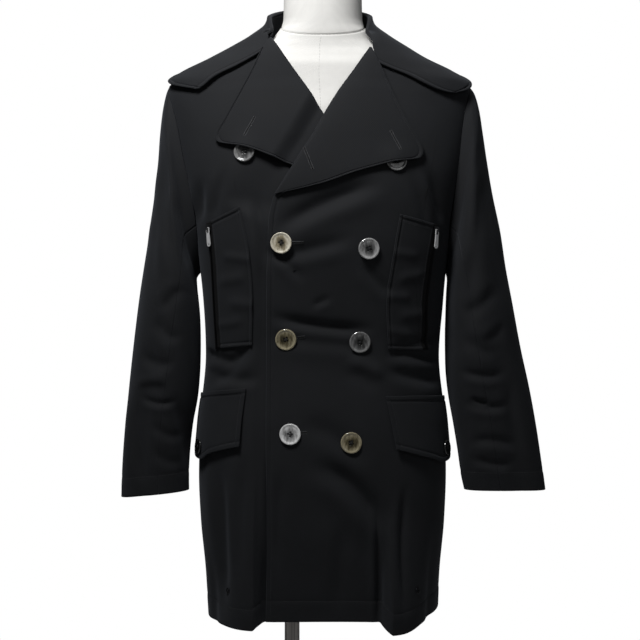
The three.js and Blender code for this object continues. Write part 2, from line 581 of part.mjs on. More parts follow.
const LEFT_FRONT_SHARES = [
  0, 0.06, 0.12, 0.18, 0.24, 0.3, 0.36, 0.407, 0.422, 0.437, 0.452, 0.5, 0.56, 0.65, 0.77, 0.89, 1,
];
const RIGHT_FRONT_SHARES = [0, 0.14, 0.28, 0.38, 0.407, 0.422, 0.437, 0.455, 0.5, 0.57, 0.67, 0.78, 0.89, 1];
const BACK_SHARES = [0, 0.12, 0.24, 0.36, 0.48, 0.6, 0.72, 0.86, 1];

// A front starts under its lapel where the lapel's roll ends
function frontStart(lapel, edge, height) {
  const side = Math.sign(lapel[0].rollAcross);
  const tuck = height < BREAK ? 0 : side * (ROLL_RADIUS + LAPEL_SEAM);
  return frontAngle(edge(height) + tuck, height);
}

function makeFronts() {
  const left = bodyPanel(
    LEFT_FRONT_SHARES,
    (height) => frontStart(LEFT_LAPEL, leftEdge, height),
    (height) => sideLine(height, 1),
    () => 0,
  );
  addPiece("left_front", left, "twill");
  // The right front's own edge is the mirror of the left one, drawn in under its lapel's lower end
  const drawnIn = (height) => (ROLL_RADIUS + LAPEL_SEAM) * ease(height, BREAK - 40, BREAK - 11);
  const rightEdge = (height) =>
    height < BREAK ? -leftEdge(height) - drawnIn(height) : rollAcross(RIGHT_LAPEL, height);
  const right = bodyPanel(
    RIGHT_FRONT_SHARES,
    (height) => frontStart(RIGHT_LAPEL, rightEdge, height),
    (height) => -sideLine(height, 1),
    (angle, height) => {
      const depth = THREE.MathUtils.lerp(UNDER_EDGE, UNDER_LAPEL, ease(height, BREAK - 45, BREAK - 8));
      return depth * covered(bodyPoint(angle, height).x, height, FRONT_FADE);
    },
  );
  addPiece("right_front", right, "twill");
}

function makeBacks() {
  const centre = (height) => Math.PI - turnFor(SEAM / 2, Math.PI, height);
  for (const [name, side] of [["left_back", 1], ["right_back", -1]]) {
    const back = bodyPanel(
      BACK_SHARES,
      (height) => side * centre(height),
      (height) => side * sideLine(height, -1),
      () => 0,
    );
    addPiece(name, back, "twill");
  }
}

// The turn of a cloth over its roll: how far along and how far out its middle lies, at each step
const ROLL_STEPS = [-90, -45, 0, 45, 90].map((degrees) => ({
  along: 1 - Math.cos(radians(degrees)),
  out: 1 + Math.sin(radians(degrees)),
}));

// A lapel: from under its roll, over it, and out to its edge
function makeLapel(name, lapel, topButton, tucked) {
  const middle = [];
  for (const share of LAPEL_SHARES) {
    const at = (column) => along(lapel, "share", column, share);
    const roll = new THREE.Vector2(at("rollAcross"), at("rollHeight"));
    const edge = new THREE.Vector2(at("edgeAcross"), at("edgeHeight"));
    const seamShare = 1 - ease(share, 0, 0.1);
    roll.y -= SEAM * 2 * seamShare;
    edge.y -= SEAM * 2 * seamShare;
    const length = roll.distanceTo(edge);
    const place = (distance, outAt) => {
      const spot = roll.clone().lerp(edge, distance / length);
      const press = tucked ? covered(spot.x, spot.y, LAPEL_FADE) : 0;
      return onBody(frontAngle(spot.x, spot.y), spot.y, outAt(press, spot));
    };
    const rollBase = (press) => THREE.MathUtils.lerp(-CLOTH / 2, UNDER_LAPEL - CLOTH / 2, press);
    const rollTop = (press) => THREE.MathUtils.lerp(2 * ROLL_RADIUS - CLOTH / 2, TUCKED_LAPEL, press);
    const line = ROLL_STEPS.map((step) =>
      place(ROLL_RADIUS * step.along, (press) =>
        THREE.MathUtils.lerp(rollBase(press), rollTop(press), step.out / 2),
      ),
    );
    for (const reach of LAPEL_REACHES) {
      const distance = ROLL_RADIUS + (length - ROLL_RADIUS) * reach;
      const bow = (distance / SWELL_REACH) * Math.exp(1 - distance / SWELL_REACH) * LAPEL_SWELL * (1 - share);
      line.push(
        place(distance, (press, spot) => {
          const away = Math.hypot(spot.x - topButton.across, spot.y - topButton.height);
          const lift = BUTTON_SWELL * Math.exp(-((away / SWELL_REACH) ** 2));
          return rollTop(press) + (bow + lift) * (1 - press);
        }),
      );
    }
    middle.push(line);
  }
  addPiece(name, wallAround(middle, CLOTH), "twill");
}

// Height of the collar's fold round the neck
function foldHeight(side, degrees) {
  return along(side < 0 ? RIGHT_LEAF : LEFT_LEAF, "foldAngle", "foldHeight", degrees);
}

function makeCollarStand() {
  const columns = 26;
  const rows = 3;
  const place = (row, column) => {
    const degrees = THREE.MathUtils.lerp(-(360 - STAND_START), -STAND_START, column / columns);
    const angle = radians(degrees);
    const fromFront = degrees < -180 ? 360 + degrees : -degrees;
    const low = neckHeight(radians(fromFront)) + SEAM;
    const high = foldHeight(degrees < -180 ? 1 : -1, fromFront) - ROLL_RADIUS - STAND_SEAM;
    return { angle, height: THREE.MathUtils.lerp(low, high, row / (rows - 1)), out: 0 };
  };
  addPiece("collar_stand", wallOnBody(rows, columns + 1, place, CLOTH), "twill");
}

// One half of the collar leaf, as lines of points from its gorge or fold to its outer edge
function leafLines(table, side) {
  return LEAF_SHARES.map((share) => {
    const at = (column) => along(table, "share", column, share);
    const fold = { angle: side * radians(at("foldAngle")), height: at("foldHeight") };
    const edge = { angle: side * radians(at("edgeAngle")), height: at("edgeHeight") };
    const turned = ease(share, 0.07, 0.15);
    const lifted = ease(share, 0.02, 0.16);
    const flatOut = 2 * ROLL_RADIUS - CLOTH / 2;
    const bow = LEAF_BOW * (1 - ease(share, 0, 0.15));
    const between = (reach) => {
      const angle = THREE.MathUtils.lerp(fold.angle, edge.angle, reach);
      const unbowed = THREE.MathUtils.lerp(fold.height, edge.height, reach);
      const height = unbowed - 4 * bow * reach * (1 - reach);
      const near = onBody(angle, height, flatOut + 2 * reach);
      const free = leafPoint(angle, height).addScaledVector(outward(leafPoint, angle, height), -CLOTH / 2);
      return near.lerp(free, Math.max(lifted, ease(reach, 0.15, 0.6)));
    };
    const span = between(0).distanceTo(between(1));
    const top = onBody(fold.angle, fold.height);
    const out = outward(bodyPoint, fold.angle, fold.height);
    const up = onBody(fold.angle, fold.height + 1).sub(onBody(fold.angle, fold.height - 1)).normalize();
    const line = ROLL_STEPS.map((step, index) => {
      const rolled = top.clone();
      rolled.addScaledVector(out, -CLOTH / 2 + ROLL_RADIUS * step.out);
      rolled.addScaledVector(up, -ROLL_RADIUS * step.along);
      return between((index / ROLL_STEPS.length) * (LEAF_ROLL / span)).lerp(rolled, turned);
    });
    for (const reach of LEAF_REACHES) {
      line.push(between(Math.max(reach, (LEAF_ROLL + 1.5) / span)));
    }
    return line;
  });
}

function makeCollarLeaf() {
  const left = leafLines(LEFT_LEAF, 1);
  const right = leafLines(RIGHT_LEAF, -1);
  const middle = [...left.slice(0, -1), ...right.reverse()];
  addPiece("collar_leaf", wallAround(middle, CLOTH), "twill");
}

// A ring of a sleeve as a function of the turn round it: 0 is its outer side, a quarter turn its front
function sleeveRings(table, side) {
  const middle = (ARMHOLE.top + ARMHOLE.bottom) / 2;
  const half = (ARMHOLE.top - ARMHOLE.bottom) / 2;
  const armhole = (turn, inward) => {
    const height = middle + half * Math.cos(turn);
    const depth = ARMHOLE.middleDepth - ARMHOLE.halfDepth * Math.sin(turn);
    const angle = depthAngle(depth, height);
    const point = bodyPoint(side * angle, height);
    point.x += side * SLEEVE_START;
    const heart = new THREE.Vector3(point.x, ARMHOLE.middleDepth, middle);
    return point.add(heart.sub(point).setLength(inward));
  };
  const ring = (row, place) => (turn, inward) => {
    const high = new THREE.Vector3(side * row.outAcross, row.depth, row.outHeight);
    const low = new THREE.Vector3(side * row.inAcross, row.depth, row.inHeight);
    const centre = high.clone().add(low).multiplyScalar(0.5);
    const axis = high.clone().sub(low).multiplyScalar(0.5);
    const sine = Math.sin(turn);
    const cosine = Math.cos(turn);
    const upShare = Math.sign(cosine) * Math.abs(cosine) ** SLEEVE_SQUARENESS;
    const frontShare = Math.sign(sine) * Math.abs(sine) ** SLEEVE_SQUARENESS;
    let push = -inward;
    for (const trough of SLEEVE_TROUGHS) {
      const away = THREE.MathUtils.radToDeg(THREE.MathUtils.euclideanModulo(turn, 2 * Math.PI)) - trough.middle;
      const run = ease(place, trough.from, trough.from + 0.15) * (1 - ease(place, trough.to - 0.2, trough.to));
      push += trough.out * Math.exp(-((away / trough.spread) ** 2) / 2) * run;
    }
    const deep = sine > 0 ? row.front : row.back;
    const point = centre.addScaledVector(axis, upShare);
    point.y -= deep * frontShare;
    const normal = axis.clone().multiplyScalar(cosine / axis.lengthSq());
    normal.y -= sine / deep;
    return point.addScaledVector(normal.normalize(), push);
  };
  return [armhole, ...table.map((row, index) => ring(row, (index + 1) / table.length))];
}

// Part of a sleeve between two turns round each ring
function sleevePiece(rings, columns, startAt, endAt) {
  const face = (inward) =>
    rings.map((ring, index) => {
      const place = index / (rings.length - 1);
      return Array.from({ length: columns + 1 }, (_, column) => {
        const turn = THREE.MathUtils.lerp(startAt(place), endAt(place), column / columns);
        return ring(turn, inward);
      });
    });
  return wallBetween(face(0), face(CLOTH));
}

function makeSleeves() {
  const { frontTop, frontCuff, backTop, backCuff } = SLEEVE_SEAMS;
  const gap = 0.3; // degrees
  const front = (place) => THREE.MathUtils.lerp(frontTop, frontCuff, ease(place, 0, 0.7));
  const back = (place) => THREE.MathUtils.lerp(backTop, backCuff, ease(place, 0, 0.7));
  const sleeves = [["left", LEFT_SLEEVE, 1], ["right", RIGHT_SLEEVE, -1]];
  for (const [name, table, side] of sleeves) {
    const rings = sleeveRings(table, side);
    const upper = sleevePiece(
      rings,
      10,
      (place) => radians(back(place) - 360 + gap),
      (place) => radians(front(place) - gap),
    );
    const under = sleevePiece(
      rings,
      7,
      (place) => radians(front(place) + gap),
      (place) => radians(back(place) - gap),
    );
    addPiece(`${name}_upper_sleeve`, upper, "twill");
    addPiece(`${name}_under_sleeve`, under, "twill");
  }
}

// A chest pocket's patch from just inside its zip to its inner edge, and the zip's tape beside it
function makeChestPocket(name, table) {
  const side = Math.sign(table[0].outAcross);
  const rows = 11;
  const place = (columns, inset, outset, out) => (row, column) => {
    const share = row / (rows - 1);
    const at = (key) => along(table, "share", key, share);
    const start = at("outAcross") - side * inset;
    const end = outset === null ? at("inAcross") : at("outAcross") - side * outset;
    const t = column / (columns - 1);
    const across = THREE.MathUtils.lerp(start, end, t);
    const whole = (at("outAcross") - across) / (at("outAcross") - at("inAcross"));
    const height = THREE.MathUtils.lerp(at("outHeight"), at("inHeight"), whole);
    return { angle: frontAngle(across, height), height, out };
  };
  const patchStart = ZIP.width + SEAM;
  const patchColumns = 7;
  const patchOut = ON_CLOTH + PATCH_CLOTH;
  const patch = wallOnBody(rows, patchColumns, place(patchColumns, patchStart, null, patchOut), PATCH_CLOTH);
  addPiece(`${name}_chest_pocket`, patch, "twill");
  const tapeColumns = 3;
  const tape = wallOnBody(rows, tapeColumns, place(tapeColumns, 0, ZIP.width, ON_CLOTH + ZIP.thick), ZIP.thick);
  addPiece(`${name}_zip_tape`, tape, "zipTape");
}

// Closed solid of a three.js geometry, for joining and cutting
function toManifold(geometry) {
  const plain = new THREE.BufferGeometry();
  plain.setAttribute("position", geometry.getAttribute("position"));
  if (geometry.index) plain.setIndex(geometry.index);
  const merged = mergeVertices(plain, 1e-4);
  const mesh = new wasm.Mesh({
    numProp: 3,
    vertProperties: new Float32Array(merged.getAttribute("position").array),
    triVerts: new Uint32Array(merged.index.array),
  });
  return new wasm.Manifold(mesh);
}

function fromManifold(solid) {
  const mesh = solid.getMesh();
  const geometry = new THREE.BufferGeometry();
  geometry.setAttribute("position", new THREE.Float32BufferAttribute(Array.from(mesh.vertProperties), 3));
  geometry.setIndex(Array.from(mesh.triVerts));
  geometry.computeVertexNormals();
  return geometry;
}

const joined = (geometries) =>
  fromManifold(geometries.map(toManifold).reduce((whole, piece) => whole.add(piece)));

const box = (width, deep, high, x, y, z) => new THREE.BoxGeometry(width, deep, high).translate(x, y, z);

// Frame on a surface: across, out of the cloth, and up along it
function frameAt(point, out) {
  const up = new THREE.Vector3(0, 0, 1);
  const across = out.clone().cross(up).normalize();
  const upward = across.clone().cross(out).normalize();
  return new THREE.Matrix4().makeBasis(across, out, upward).setPosition(point);
}

// Zip slider with its bridge, and the pull that hangs from a bar through the bridge
const SLIDER = { width: 7, long: 9, thick: 2.2, bridgeWidth: 2, bridgeLong: 6.4, bridgeHigh: 4.2, wall: 1.1 };
const PULL = { bar: 0.7, armGap: 1.5, arm: 1.2, armLong: 7, width: 6.6, long: 20, thick: 1.3, hole: 1.3 };
const PIVOT_HEIGHT = SLIDER.thick + 1.3;

function makeZipHead(name, table) {
  const side = Math.sign(table[0].outAcross);
  const drop = 6;
  const last = table[table.length - 1];
  const height = last.outHeight - drop;
  const across = along(table, "share", "outAcross", 0.95) - (side * ZIP.width) / 2;
  const angle = frontAngle(across, height);
  const seat = ON_CLOTH + ZIP.thick + 0.3;
  const frame = frameAt(onBody(angle, height, seat), outward(bodyPoint, angle, height));
  const { width, long, thick, bridgeWidth, bridgeLong, bridgeHigh, wall } = SLIDER;
  const legs = bridgeLong / 2 - wall / 2;
  const slider = joined([
    box(width, thick, long, 0, thick / 2, 0),
    box(bridgeWidth, bridgeHigh, wall, 0, thick + bridgeHigh / 2 - 0.2, legs),
    box(bridgeWidth, bridgeHigh, wall, 0, thick + bridgeHigh / 2 - 0.2, -legs),
    box(bridgeWidth, wall, bridgeLong, 0, thick + bridgeHigh - 0.2 - wall / 2, 0),
  ]);
  addPiece(`${name}_zip_slider`, slider.applyMatrix4(frame), "nickel");
  const reach = bridgeWidth / 2 + PULL.armGap;
  const bar = new THREE.CylinderGeometry(PULL.bar, PULL.bar, 2 * reach, 8).rotateZ(Math.PI / 2);
  const plate = new THREE.Shape();
  const half = PULL.width / 2;
  const low = -PULL.armLong - PULL.long;
  plate.moveTo(half - 0.6, -PULL.armLong);
  plate.lineTo(half, low + half);
  plate.absarc(0, low + half, half, 0, -Math.PI, true);
  plate.lineTo(-half + 0.6, -PULL.armLong);
  const hole = new THREE.Path();
  hole.absarc(0, low + half, PULL.hole, 0, 2 * Math.PI, false);
  plate.holes.push(hole);
  const flat = new THREE.ExtrudeGeometry(plate, { depth: PULL.thick, bevelEnabled: false, curveSegments: 8 });
  flat.translate(0, 0, -PULL.thick / 2).rotateX(Math.PI / 2);
  const armHigh = PULL.armLong + 0.8;
  const arm = (x) => box(PULL.arm, 1.3, armHigh, x, 0, -armHigh / 2 + 0.6);
  const pull = joined([bar, arm(reach), arm(-reach), flat]);
  const pivot = frame.clone().multiply(new THREE.Matrix4().makeTranslation(0, PIVOT_HEIGHT, 0));
  addPiece(`${name}_zip_pull`, pull.applyMatrix4(pivot), "nickel");
}

// Where a point of a flap lies: share across it, and reach down it from 0 at its top
function flapPlace(table, share, reach) {
  const at = (key) => along(table, "share", key, share);
  return {
    angle: radians(THREE.MathUtils.lerp(at("topAngle"), at("bottomAngle"), reach)),
    height: THREE.MathUtils.lerp(at("top"), at("bottom"), reach),
    out: ON_CLOTH + PATCH_CLOTH + FLAP_STAND_OFF * reach ** 1.3,
  };
}

function makeFlap(name, table, buttonShare, buttonReach) {
  const rows = 7;
  const columns = 12;
  const place = (row, column) => flapPlace(table, column / (columns - 1), row / (rows - 1));
  addPiece(`${name}_flap`, wallOnBody(rows, columns, place, PATCH_CLOTH), "twill");
  const at = (share, reach) => {
    const spot = flapPlace(table, share, reach);
    return onBody(spot.angle, spot.height, spot.out);
  };
  const point = at(buttonShare, buttonReach);
  const over = at(buttonShare + 0.02, buttonReach).sub(at(buttonShare - 0.02, buttonReach));
  const up = at(buttonShare, buttonReach - 0.02).sub(at(buttonShare, buttonReach + 0.02));
  const out = over.cross(up).multiplyScalar(Math.sign(table[0].topAngle)).normalize();
  addButton(`${name}_flap_button`, FLAP_BUTTON, point, out, FLAP_BUTTON_SEAT, "darkHorn");
}

// A turned button: flat behind, with a raised rim round a dished middle
function addButton(name, size, point, out, thread, look) {
  const { radius, thick, rim, dish } = size;
  const profile = [
    new THREE.Vector2(0, 0),
    new THREE.Vector2(radius * 0.82, 0),
    new THREE.Vector2(radius, thick * 0.4),
    new THREE.Vector2(radius - 0.4, thick * 0.85),
    new THREE.Vector2(radius - rim, thick),
    new THREE.Vector2(radius - 2 * rim, thick - dish),
    new THREE.Vector2(0, thick - dish * 1.2),
  ];
  const button = new THREE.LatheGeometry(profile, 18);
  const seat = point.clone().addScaledVector(out, thread);
  addPiece(name, closeLathe(button).applyMatrix4(frameAt(seat, out)), look);
}

// A lathe's two ends meet, so its doubled points are joined
function closeLathe(geometry) {
  return fromManifold(toManifold(geometry));
}

function makeButtons() {
  for (const { name, across, height, seat } of BUTTONS) {
    const angle = frontAngle(across, height);
    const look = name.startsWith("button_right") ? "horn" : "darkHorn";
    addButton(name, BUTTON, onBody(angle, height), outward(bodyPoint, angle, height), seat, look);
  }
}

function makeEyelets() {
  const { radius, hole, thick } = EYELET;
  const middle = (radius + hole) / 2;
  const half = (radius - hole) / 2;
  const profile = [];
  for (let step = 0; step <= 6; step += 1) {
    const turn = (2 * Math.PI * step) / 6;
    profile.push(new THREE.Vector2(middle + half * Math.cos(turn), (thick / 2) * (1 + Math.sin(turn))));
  }
  for (const { name, across, height } of EYELETS) {
    const angle = frontAngle(across, height);
    const out = outward(bodyPoint, angle, height);
    const ring = closeLathe(new THREE.LatheGeometry(profile, 16));
    const seat = onBody(angle, height, EYELET_SEAT);
    addPiece(name, ring.applyMatrix4(frameAt(seat, out)), "blackBrass");
  }
}

// The form is closed by a flat underside and by a flat cap on its neck
function makeForm() {
  const columns = 26;
  const points = [];
  const faces = [];
  for (const section of FORM) {
    for (let column = 0; column < columns; column += 1) {
      points.push(onSection(section, (2 * Math.PI * column) / columns));
    }
  }
  const rings = FORM.length;
  for (let ring = 0; ring < rings - 1; ring += 1) {
    for (let column = 0; column < columns; column += 1) {
      const here = ring * columns + column;
      const next = ring * columns + ((column + 1) % columns);
      faces.push([here, next, next + columns], [here, next + columns, here + columns]);
    }
  }
  const capAt = (ring, turned) => {
    const section = FORM[ring];
    const centre = points.push(new THREE.Vector3(section.shift, 0, section.height)) - 1;
    for (let column = 0; column < columns; column += 1) {
      const here = ring * columns + column;
      const next = ring * columns + ((column + 1) % columns);
      faces.push(turned ? [centre, next, here] : [centre, here, next]);
    }
  };
  capAt(0, true);
  capAt(rings - 1, false);
  addPiece("dress_form", solidFrom(points, faces), "linen");
}

function makeStand() {
  const { radius, rim, crown, hub, hubHeight } = FOOT;
  const upright = (geometry) => closeLathe(geometry).rotateX(Math.PI / 2).translate(POLE.across, 0, 0);
  const foot = new THREE.LatheGeometry(
    [
      new THREE.Vector2(0, 0),
      new THREE.Vector2(radius - 2, 0),
      new THREE.Vector2(radius, 2),
      new THREE.Vector2(radius - 1, rim),
      new THREE.Vector2(hub * 2, crown),
      new THREE.Vector2(hub, crown + 3),
      new THREE.Vector2(hub * 0.8, hubHeight),
      new THREE.Vector2(0, hubHeight),
    ],
    48,
  );
  addPiece("stand_base", upright(foot), "steel");
  const low = hubHeight + SEAM;
  const high = FORM[0].height - SEAM;
  const pole = new THREE.CylinderGeometry(POLE.radius, POLE.radius, high - low, 24);
  addPiece("stand_pole", upright(pole.translate(0, (low + high) / 2, 0)), "chrome");
}

makeFronts();
makeBacks();
makeLapel("left_lapel", LEFT_LAPEL, BUTTONS[4], false);
makeLapel("right_lapel", RIGHT_LAPEL, BUTTONS[0], true);
makeCollarStand();
makeCollarLeaf();
makeSleeves();
makeChestPocket("left", LEFT_CHEST_POCKET);
makeChestPocket("right", RIGHT_CHEST_POCKET);
makeZipHead("left", LEFT_CHEST_POCKET);
makeZipHead("right", RIGHT_CHEST_POCKET);
makeFlap("left", LEFT_FLAP, 0.76, 0.8);
makeFlap("right", RIGHT_FLAP, 0.74, 0.82);
makeButtons();
makeEyelets();
makeForm();
makeStand();

export default coat;
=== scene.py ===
"""A long double-breasted pea coat, worn on a limbless dress form on a pole with a round foot.

Lengths inside the functions are millimetres, and the meshes are metres. Z is up, the coat faces -Y,
and the wearer's left is +X. The origin lies on the floor under the middle of the coat.
"""

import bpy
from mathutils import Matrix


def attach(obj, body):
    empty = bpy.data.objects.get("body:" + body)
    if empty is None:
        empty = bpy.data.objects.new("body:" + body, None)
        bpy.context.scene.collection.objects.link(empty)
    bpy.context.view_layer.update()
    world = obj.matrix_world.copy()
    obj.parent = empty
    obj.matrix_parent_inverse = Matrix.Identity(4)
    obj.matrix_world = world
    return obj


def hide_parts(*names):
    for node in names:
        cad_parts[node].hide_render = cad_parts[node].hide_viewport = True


bl_info = {
    "name": "Pea coat on a dress form",
    "version": (1, 0, 0),
    "blender": (4, 5, 0),
    "location": "3D View > Sidebar > Coat",
    "description": "Makes a double-breasted pea coat as cloth panels on a dress form, with its stage",
    "category": "Add Mesh",
}

import math

import bpy
import numpy as np
from bpy.props import FloatProperty, FloatVectorProperty, PointerProperty
from bpy.types import Operator, Panel, PropertyGroup
from mathutils import Vector

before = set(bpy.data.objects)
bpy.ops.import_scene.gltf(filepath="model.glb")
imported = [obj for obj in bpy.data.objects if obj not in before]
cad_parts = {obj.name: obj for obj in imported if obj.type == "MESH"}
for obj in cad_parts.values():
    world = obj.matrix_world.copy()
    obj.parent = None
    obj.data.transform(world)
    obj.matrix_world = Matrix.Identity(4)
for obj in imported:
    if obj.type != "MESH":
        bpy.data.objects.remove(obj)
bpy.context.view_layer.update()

COAT = "coat_on_form"
MM = 0.001

# Cloth and how its layers lie, as in the solids
CLOTH = 2.0
PATCH_CLOTH = 1.4
SEAM = 0.3
ON_CLOTH = 0.6
ROLL_RADIUS = 2.6
UNDER_EDGE = -3.4
UNDER_LAPEL = -9.5
TUCKED_LAPEL = -5.0
HEM = 620
NECK = 1458
BREAK = 1227
ARMHOLE_TOP = 1398
ARMHOLE_BOTTOM = 1120
ARMHOLE_MIDDLE = (ARMHOLE_TOP + ARMHOLE_BOTTOM) / 2
ARMHOLE_HALF = (ARMHOLE_TOP - ARMHOLE_BOTTOM) / 2
ARMHOLE_DEPTH = 5
ARMHOLE_HALF_DEPTH = 57
FRONT_FADE = 62
LAPEL_FADE = 18
LAPEL_SEAM = 2.2
LAPEL_SWELL = 3.5
BUTTON_SWELL = 4.6
SWELL_REACH = 22
LEAF_ROLL = 5.5
LEAF_BOW = 12
STAND_SEAM = 1.5
STAND_START = 54
SLEEVE_START = 0.8
SLEEVE_SQUARENESS = 0.93
SEAM_FRONT_TOP, SEAM_FRONT_CUFF = 121, 97
SEAM_BACK_TOP, SEAM_BACK_CUFF = 238, 262
SLEEVE_GAP = 0.3
ZIP_WIDTH, ZIP_THICK = 8, 1
FLAP_STAND_OFF = 4.5
# How far in from their edges the panels are stitched
HEM_STITCHING = 29.0
CUFF_STITCHING = 27.0
FREE_EDGE_STITCHING = 7.0
BACK_SEAM_STITCHING = 5.0
COLLAR_STITCHING = 5.2
POCKET_BORDER = 5.0
POCKET_STITCHING = 2.2
POCKET_TOP_STITCHING = 9.5
FLAP_STITCHING = 7.0
# The part of a front's width, from its own edge, in which its skirt fold turns back
FOLD_SHARES = (0.392, 0.452)
POLE_ACROSS, POLE_RADIUS = -45, 11
FOOT_RADIUS, FOOT_RIM, FOOT_CROWN, HUB, HUB_HEIGHT = 190, 7, 12, 24, 34


def columns(names, *rows):
    """A table with named columns: each name gives one array of its values from the first row to the last."""
    return dict(zip(names.split(), np.array(rows, dtype=float).T))


BODY = columns(
    "height half_width front back shift power",
    (600, 166, 106, 108, 0, 2.5),
    (680, 171, 110, 112, 0, 2.5),
    (760, 179, 114, 115, 0, 2.5),
    (830, 182, 116, 114, 0, 2.5),
    (900, 181, 113, 106, 0, 2.5),
    (1000, 172, 106, 96, 0, 2.45),
    (1080, 177, 113, 104, 1, 2.45),
    (1170, 188, 120, 114, 1, 2.45),
    (1235, 202, 118, 113, 0, 2.45),
    (1312, 219, 103, 102, -3, 2.4),
    (1378, 225, 82, 88, -5, 2.3),
    (1398, 219, 74, 82, -5, 2.25),
    (1415, 186, 69, 78, -5, 2.2),
    (1432, 150, 64, 74, -4, 2.2),
    (1450, 113, 58, 70, -4, 2.2),
    (1462, 92, 54, 67, -4, 2.2),
    (1474, 80, 51, 64, -4, 2.2),
    (1490, 75, 48, 63, -4, 2.2),
    (1505, 70.5, 45, 62, -4, 2.2),
    (1522, 65, 42, 61, -3, 2.2),
)
LEAF = columns(
    "height half_width front back shift power",
    (1376, 236, 90, 98, -6, 2.25),
    (1398, 228, 83, 92, -6, 2.25),
    (1417, 200, 76, 87, -7, 2.2),
    (1435, 163, 71, 83, -7, 2.2),
    (1453, 131, 66, 79, -5, 2.2),
    (1470, 103, 60, 75, -4, 2.2),
    (1488, 81, 54, 70, -4, 2.2),
    (1506, 75.5, 50, 67, -4, 2.2),
    (1524, 70, 47, 66, -3, 2.2),
)
FORM = columns(
    "height half_width front back shift power",
    (770, 148, 86, 88, 0, 2.2),
    (776, 154, 92, 94, 0, 2.2),
    (840, 160, 98, 99, 0, 2.2),
    (920, 152, 92, 88, 0, 2.2),
    (1000, 142, 84, 78, 0, 2.2),
    (1100, 154, 95, 88, 0, 2.2),
    (1200, 166, 100, 98, 0, 2.2),
    (1290, 174, 90, 92, -2, 2.2),
    (1350, 180, 80, 82, -3, 2.2),
    (1385, 183, 68, 76, -4, 2.2),
    (1402, 181, 64, 72, -5, 2.2),
    (1412, 176, 62, 70, -5, 2.2),
    (1422, 163.5, 60, 69, -5, 2.2),
    (1436, 134, 54, 67, -4, 2.2),
    (1450, 97, 49.5, 64, -4, 2.2),
    (1462, 76, 48.5, 61, -2, 2.2),
    (1474, 67, 49, 57, 0, 2.1),
    (1484, 61, 49, 55, 0.5, 2),
    (1494, 58.5, 49, 54, 0.5, 2),
    (1544, 57, 48, 53, 0.5, 2),
    (1549, 53, 44, 49, 0.5, 2),
    (1550, 46, 37, 42, 0.5, 2),
)
SKIRT_FOLDS = columns(
    "middle inner outer out top",
    (-27, 1.3, 17, 21, 862),
    (27, 1.3, 17, 26, 790),
    (4, 13, 13, -5, 760),
    (-66, 5, 5, -4, 800),
    (62, 5, 6, -4, 820),
    (102, 9, 9, 7, 770),
    (-106, 10, 9, 6, 790),
    (141, 12, 11, 11, 850),
    (-148, 13, 10, 9, 810),
    (170, 9, 9, -6, 800),
)
HEM_LINE = columns(
    "angle height",
    (-180, 618),
    (-120, 616),
    (-91, 617),
    (-60, 613),
    (-28, 610),
    (-23.5, 620),
    (0, 621),
    (23.5, 620),
    (27, 604),
    (33, 605),
    (50, 616),
    (91, 627),
    (140, 618),
    (180, 618),
)
NECK_LINE = columns(
    "angle height",
    (34, 1446),
    (46, 1455),
    (60, 1460),
    (90, 1464),
    (130, 1469),
    (180, 1472),
)
FREE_EDGE = columns(
    "height across",
    (600, -80),
    (900, -80),
    (1100, -79),
    (1190, -76),
    (1227, -69),
)
LEFT_LAPEL = columns(
    "share roll_across roll_height edge_across edge_height",
    (0, 68.6, 1445, 80.1, 1420),
    (0.2, 46, 1411, 99, 1377),
    (0.38, 20, 1373, 119, 1336),
    (0.55, -6, 1328, 141.5, 1289),
    (0.6, -13, 1315, 137.5, 1281),
    (0.7, -28, 1292, 97, 1273),
    (0.8, -41, 1270, 51.5, 1261),
    (0.9, -55, 1248, 0.5, 1243.5),
    (1, -67, 1228, -55, 1230.5),
)
RIGHT_LAPEL = columns(
    "share roll_across roll_height edge_across edge_height",
    (0, -73.5, 1460, -86.2, 1438),
    (0.2, -52, 1426, -110, 1393),
    (0.4, -22, 1382, -138, 1341),
    (0.55, 0, 1349, -152, 1312),
    (0.6, 7, 1337, -149, 1305),
    (0.7, 22, 1310, -109, 1295),
    (0.82, 41, 1275, -48, 1273),
    (0.92, 57, 1246, 5, 1252),
    (1, 67, 1229, 55, 1232),
)
LEFT_LEAF = columns(
    "share fold_angle fold_height edge_angle edge_height",
    (0, 26.7, 1420, 56.4, 1380),
    (0.07, 36, 1447.5, 73, 1390),
    (0.15, 56, 1474, 91, 1411),
    (0.25, 76, 1494, 105, 1411),
    (0.36, 96, 1502, 119, 1411),
    (0.56, 125, 1512, 138, 1416),
    (0.78, 153, 1519, 160, 1424),
    (1, 180, 1522, 180, 1428),
)
RIGHT_LEAF = columns(
    "share fold_angle fold_height edge_angle edge_height",
    (0, 34.6, 1438, 46.5, 1384),
    (0.07, 47, 1462, 72, 1397),
    (0.15, 60, 1478, 90, 1412),
    (0.25, 76, 1494, 105, 1411),
    (0.36, 96, 1502, 119, 1411),
    (0.56, 125, 1512, 138, 1416),
    (0.78, 153, 1519, 160, 1424),
    (1, 180, 1522, 180, 1428),
)
LEFT_SLEEVE = columns(
    "out_across out_height in_across in_height front back depth",
    (225, 1385, 185, 1112, 60, 64, 4),
    (232, 1360, 185, 1102, 66, 70, 3),
    (237, 1325, 184, 1090, 71, 74, 2),
    (243, 1280, 183, 1075, 74, 76, 0),
    (251, 1232, 182, 1055, 74, 75, -2),
    (262, 1180, 181, 1030, 73, 73, -4),
    (270, 1125, 181, 1000, 70, 70, -6),
    (279, 1075, 182, 970, 66, 66, -9),
    (291, 1010, 186, 935, 59, 59, -12),
    (304, 950, 192, 900, 51, 51, -15),
    (315, 890, 198, 862, 43, 43, -18),
    (323, 835, 203, 826, 35, 35, -20),
    (327, 802, 208, 802, 30, 30, -21),
)
